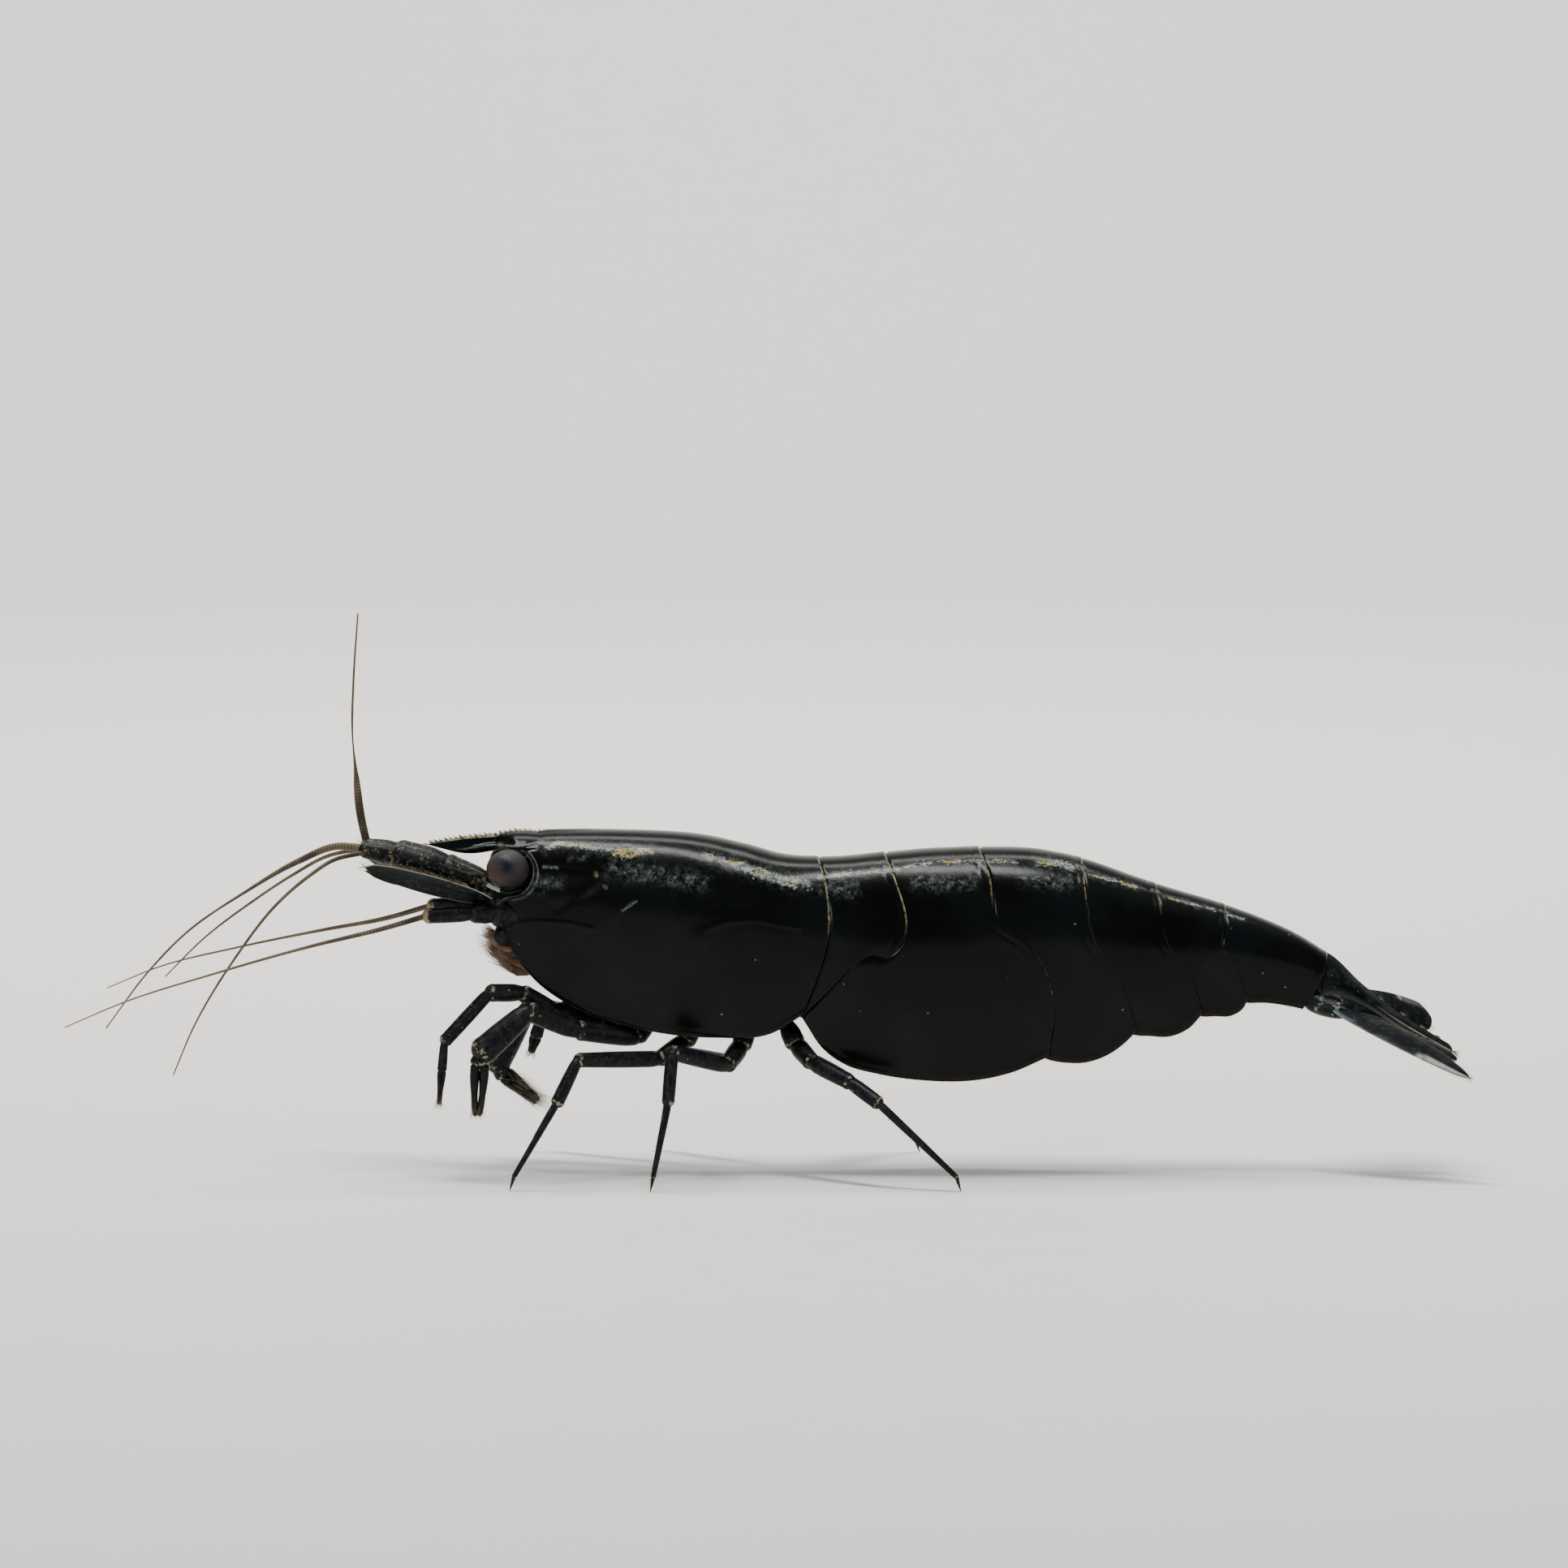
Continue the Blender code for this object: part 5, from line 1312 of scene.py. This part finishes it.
WALKING_LEGS = {    # hinge points down to the claw on the floor; the right legs bend lower
    "leg_3_left": [(-2.3, -0.52, 4.25), (-2.55, -0.78, 3.84), (-3.3, -1.6, 3.44),
                   (-5.57, -3.3, 3.63), (-6.15, -3.9, 2.46), (-7.36, -4.2, 0.42),
                   (-7.48, -4.2, 0.02)],
    "leg_3_right": [(-2.31, 0.52, 4.16), (-2.57, 0.78, 3.71), (-3.30, 1.6, 3.09),
                    (-5.74, 3.3, 2.82), (-6.25, 3.9, 1.74), (-7.02, 4.1, 0.42),
                    (-7.14, 4.1, 0.02)],
    "leg_4_left": [(-0.75, -0.58, 4.20), (-0.95, -0.90, 3.72), (-1.35, -1.9, 3.30),
                   (-2.89, -3.6, 3.88), (-3.0, -4.1, 2.49), (-3.42, -4.4, 0.42),
                   (-3.50, -4.4, 0.02)],
    "leg_4_right": [(-0.75, 0.58, 4.10), (-0.96, 0.90, 3.57), (-1.33, 1.9, 2.93),
                    (-2.98, 3.6, 3.01), (-3.09, 4.1, 1.79), (-3.33, 4.29, 0.42),
                    (-3.41, 4.29, 0.02)],
    "leg_5_left": [(0.35, -0.58, 4.32), (0.62, -0.95, 3.78), (1.08, -1.75, 3.36),
                   (2.17, -2.9, 2.93), (2.97, -3.5, 2.41), (5.16, -4.3, 0.42),
                   (5.28, -4.3, 0.02)],
    "leg_5_right": [(0.35, 0.58, 4.18), (0.61, 0.95, 3.61), (1.05, 1.75, 3.01),
                    (2.15, 2.9, 2.27), (2.93, 3.5, 1.62), (4.13, 4.02, 0.42),
                    (4.25, 4.02, 0.02)],
}
WALKING_SIZES = {
    "3": [(0.26, 0.26), (0.25, 0.23), (0.22, 0.21), (0.16, 0.19), (0.100, 0.070), (0.060, 0.012)],
    "4": [(0.26, 0.27), (0.26, 0.24), (0.23, 0.22), (0.175, 0.18), (0.110, 0.072), (0.060, 0.012)],
    "5": [(0.27, 0.28), (0.26, 0.24), (0.23, 0.22), (0.19, 0.20), (0.120, 0.075), (0.060, 0.012)],
}
# Spines of a leg: which of its lengths, how many, how long, and the share where they end
SPINES = [(2, 9, 0.10, 0.95), (3, 9, 0.09, 0.95), (4, 22, 0.08, 0.95), (5, 8, 0.05, 0.60)]
leg_beds = []
for leg_name, hinges in WALKING_LEGS.items():
    lengths = chain(hinges, WALKING_SIZES[leg_name[4]], side=(0, 0.3, 1))
    skin(f"{leg_name}_walking", lengths, [leg_name], LIMB_SKIN, LIMB_MARKS)
    leg_beds += [bed(lengths[i], np.linspace(0.25, last, count), DRAW.uniform(0, 1, count),
                     length=reach, thick=0.009, lean=0.9, spread=0.1)
                 for i, count, reach, last in SPINES]
bristles("walking_leg_spines", leg_beds, DARK_HAIR)


# Swimmerets.
# Five pairs of paddles between the side flaps: a short stalk with two thin fringed blades, folded
# back in rest.

PADDLE_SKIN = clear_coat("paddle_skin", (0.016, 0.015, 0.012), (0.004, 0.004, 0.004),
                         (0.10, 0.085, 0.05))
paddle_beds = []
for number in range(1, 6):
    for side_name, sign in SIDES:
        low, high = (np.array(corner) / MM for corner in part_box(f"swimmeret_{number}_{side_name}"))
        middle, room, quarter = (low[1] + high[1]) / 2, (high[1] - low[1]) / 2, (high - low)[0] / 4
        top = np.array([low[0] + quarter, middle, high[2] - 0.05])
        toe = np.array([high[0] - quarter, middle, low[2] + 0.12])
        knee = top + (toe - top) * 0.42
        stalk = shaft(top + (0, 0, 0.35), knee, thick_a=0.20, thick_b=0.17, outer_a=0.1,
                      outer_b=0.3)
        blades = [leaf(knee + (0, way * 0.05, 0.05), toe + (shift, way * 0.12, lift),
                       [0, 0.25, 0.6, 0.9, 1], [0.09, room * 0.62, room * 0.70, room * 0.35, 0.0],
                       thick=0.05, lean=way * 0.15, camber=0.03, rows=36, columns=30)
                  for way, shift, lift in ((sign, 0.0, 0.0), (-sign, 0.16, 0.10))]
        skin(f"swimmeret_{number}_{side_name}_paddle", [stalk, *blades],
             [f"swimmeret_{number}_{side_name}"], PADDLE_SKIN, LIMB_MARKS)
        paddle_beds += [bed(blade, np.linspace(0.3, 0.98, 18), edge, length=0.12, thick=0.006,
                            lean=0.8, spread=0.1) for blade in blades for edge in (0.0, 0.5)]
bristles("swimmeret_fringes", paddle_beds, PALE_HAIR)


# Tail fan.
# A pointed middle plate with short spines, and two thin blades on a stub at each side. The outer
# blade has a straight stiff edge and a cross joint near its end, and every rear edge is fringed.

def telson_grid(rows=90, columns=48):
    """Flattened rings along the middle plate, narrowing to a blunt point, with a faint crest."""
    stations = np.array([         # x, underside, top, half width
        (15.55, 5.00, 6.46, 0.74), (16.02, 5.12, 6.24, 0.66), (16.85, 4.84, 5.46, 0.53),
        (18.0, 4.16, 4.56, 0.39), (19.1, 3.58, 3.86, 0.24), (19.53, 3.36, 3.60, 0.15)])
    x = (stations[0, 0] + (stations[-1, 0] - stations[0, 0]) * crowded(rows))[:, None]
    low, high, half = smooth_through(stations[:, 0], stations[:, 1:], x[:, 0]).T[..., None]
    ends = tapered_ends(x - x[0], 0.2) * tapered_ends(x[-1] - x, 0.14)
    c, s = full_turn(columns)
    height = (high - low) / 2 * ends * s * (1 - 0.25 * np.abs(c))
    crest = 0.03 * bell(c, 0, 0.12) * (s > 0) * ends
    edge = ramp(np.abs(c), 0.8, 0.2) * ramp(x, 17, 1.0)
    line = 0.7 * ramp(np.abs(c), 0.97, 0.03) * ramp(x, 17.2, 1.0)
    return np.stack(np.broadcast_arrays(x, half * c * ends, (low + high) / 2 + height + crest,
                                        edge, line, 0.0), axis=-1)


FAN_COAT = blade_coat("tail_blade", pale_edge=0.95, blue_share=0.30, gloss=0.04)
# The middle plate's top, where its spines stand: (x, half width, z)
PLATE_TOP = np.array([(16.02, 0.52, 6.16), (16.85, 0.47, 5.46), (18.0, 0.36, 4.60),
                      (19.53, 0.16, 3.62)])
SPINE = (0.16, 0.01, -0.06)      # from a spine's root to its tip, on the right
fan_spines = []
for x, spread_share in ((17.4, 0.62), (18.03, 0.60), (18.59, 0.56), (19.045, 0.50)):
    for sign in (-1, 1):
        half, z = smooth_through(PLATE_TOP[:, 0], PLATE_TOP[:, 1:], x)
        u = np.linspace(0, 1, 8)
        root = sided((x, half * spread_share, z), sign)
        path = root + u[:, None] * sided(SPINE, sign)
        fan_spines.append(sleeve(path, 0.028 * (1 - u), columns=8, marks=(0.9, 0.4, 0)))
middle_plate = telson_grid()
skin("telson_plate", [middle_plate, *fan_spines], ["telson"], FAN_COAT, BLADE_MARKS)
fan_beds = [bed(middle_plate, 0.985, np.linspace(0, 1, 26), length=0.24, thick=0.009, lean=2.5,
                spread=0.12)]

POINTED = (0.24, 0.50, 0.86, 1.0, 0.70, 0.36, 0.0)
ROUND = (0.14, 0.42, 0.84, 1.0, 0.96, 0.84, 0.66)
FRINGE = {"length": 0.17, "thick": 0.006, "spread": 0.05}
FAN_BLADES = {      # root, tip, half width, lean from flat in degrees, cross joint, outline
    "uropod_outer_left": ((15.98, -1.02, 4.86), (19.86, -2.80, 3.00), 0.48, 17, 0.66, POINTED),
    "uropod_inner_left": ((16.20, -0.62, 4.60), (19.55, -1.20, 3.36), 0.38, 16, None, ROUND),
    "uropod_outer_right": ((16.10, 1.05, 4.82), (19.12, 2.74, 4.10), 0.60, 46, 0.70, ROUND),
    "uropod_inner_right": ((16.20, 0.62, 4.60), (19.55, 1.20, 3.36), 0.38, 10, None, ROUND),
}
for blade_name, (root, tip, half, lean, suture, outline) in FAN_BLADES.items():
    sign = math.copysign(1, root[1])
    sheet = leaf(root, tip, [0, 0.06, 0.25, 0.55, 0.80, 0.93, 1], half * np.array(outline),
                 thick=0.075, lean=math.radians(lean), camber=0.07, skew=0.03 * sign,
                 suture=suture, droop=0.12, outer=sign)
    skin(f"{blade_name}_blade", [sheet], [blade_name], FAN_COAT, BLADE_MARKS)
    outer = 0.0 if sign > 0 else 0.5
    fan_beds += [bed(sheet, np.linspace(0.35, 0.93, 76), 0.5 - outer, lean=1.1, **FRINGE),
                 bed(sheet, np.linspace(0.70 if suture else 0.4, 0.93, 40), outer, lean=1.3,
                     **FRINGE)]
bristles("tail_fan_fringe", fan_beds, PALE_HAIR)
STUB_COAT = limb_coat("stub_skin", joint_share=0.9, speckle_share=0.01, brown_from=1.0,
                      spots=(HAZE_BLUE, SPOT_GREEN))
STUB_ROUTE = [(15.22, 0.40, 5.08), (15.55, 0.58, 4.96), (15.90, 0.80, 4.84), (16.22, 1.00, 4.76),
              (16.46, 1.16, 4.70)]
for side_name, sign in SIDES:
    share = np.linspace(0, 1, 40)
    size = smooth_through([0, 0.3, 0.6, 1], [0.26, 0.31, 0.28, 0.20], share)
    size = size * tapered_ends(share, 0.2) * tapered_ends(1 - share, 0.25)
    patch = bell(share, 0.42, 0.10) + bell(share, 0.80, 0.14)
    stub = sleeve(along(sided(STUB_ROUTE, sign), share), size, columns=32, flat=1.15,
                  marks=(patch, 0))
    skin(f"uropod_stub_{side_name}", [stub], [f"uropod_base_{side_name}"], STUB_COAT,
         LIMB_MARKS)


# Floor, light and camera.
# A plain pale floor that curves up into a backdrop, one broad lamp overhead, two soft fills, and
# a long lens a little above the animal's left side.

def backdrop_grid():
    """The floor, bent up behind in a quarter round: a flat run, an arc, and a wall, across X."""
    half_width, near_edge, reach, bend, wall_top = 900.0, -420.0, 260.0, 120.0, 520.0
    a = np.linspace(0, math.pi / 2, 24)
    y = np.concatenate([[near_edge], reach + bend * np.sin(a), [reach + bend]])
    z = np.concatenate([[0.0], bend * (1 - np.cos(a)), [wall_top]])
    x = np.array([[-half_width], [half_width]])
    return np.stack(np.broadcast_arrays(x, y, z), axis=-1)


floor_coat, floor_tree, floor_shader = coat("pale_floor", Specular_IOR_Level=0.3)
paper = noise(floor_tree, place(floor_tree), 0.6, 5.0)
finish_coat(floor_tree, floor_shader,
            tint(floor_tree, paper, (0.80, 0.785, 0.76), (0.83, 0.815, 0.79)),
            scaled(floor_tree, paper, 0.2, 0.55))
floor_points = backdrop_grid()
floor_mesh = bpy.data.meshes.new("floor")
floor_mesh.from_pydata((floor_points.reshape(-1, 3) * MM).tolist(), [],
                       grid_quads(*floor_points.shape[:2]).tolist())
floor_mesh.shade_smooth()
floor_mesh.materials.append(floor_coat)
floor = bpy.data.objects.new("floor", floor_mesh)
bpy.context.scene.collection.objects.link(floor)
floor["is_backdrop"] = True


def lamp(name, spot, aim, size, power, colour):
    """A soft lamp of size (wide, deep) at a spot, turned to shine at aim, in millimetres."""
    light = bpy.data.lights.new(name, "AREA")
    light.shape, light.size, light.size_y = "RECTANGLE", size[0] * MM, size[1] * MM
    light.energy, light.color = power, colour
    made = bpy.data.objects.new(name, light)
    made.location = Vector(spot) * MM
    made.rotation_euler = (Vector(aim) - Vector(spot)).to_track_quat("-Z", "Y").to_euler()
    bpy.context.scene.collection.objects.link(made)


lamp("overhead", (-10, -12, 170), (0, 0, 6), (130, 26), 0.36, (1.0, 0.98, 0.95))
lamp("backdrop_glow", (0, 110, 260), (0, 400, 60), (200, 200), 1.5, (1.0, 0.99, 0.97))
lamp("front_fill", (-130, -190, 90), (0, 0, 6), (60, 60), 0.16, (0.95, 0.98, 1.0))
lamp("side_fill", (190, -120, 60), (0, 0, 6), (60, 60), 0.08, (1.0, 0.97, 0.92))

world = bpy.data.worlds.new("studio")
bpy.context.scene.world = world
world.use_nodes = True
world.node_tree.nodes["Background"].inputs["Color"].default_value = (0.95, 0.96, 1.0, 1.0)
world.node_tree.nodes["Background"].inputs["Strength"].default_value = 0.22

aim, distance, elevation = Vector((0.2795, 0.0, 11.2024)), 225.0, math.radians(5.0)
lens = bpy.data.cameras.new("camera")
lens.sensor_width, lens.lens, lens.clip_start, lens.clip_end = 36.0, 180.0, 0.01, 10.0
camera = bpy.data.objects.new("camera", lens)
back = Vector((0.0, -math.cos(elevation), math.sin(elevation)))
camera.location = (aim + distance * back) * MM
camera.rotation_euler = (-back).to_track_quat("-Z", "Y").to_euler()
bpy.context.scene.collection.objects.link(camera)
bpy.context.scene.camera = camera

low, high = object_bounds()
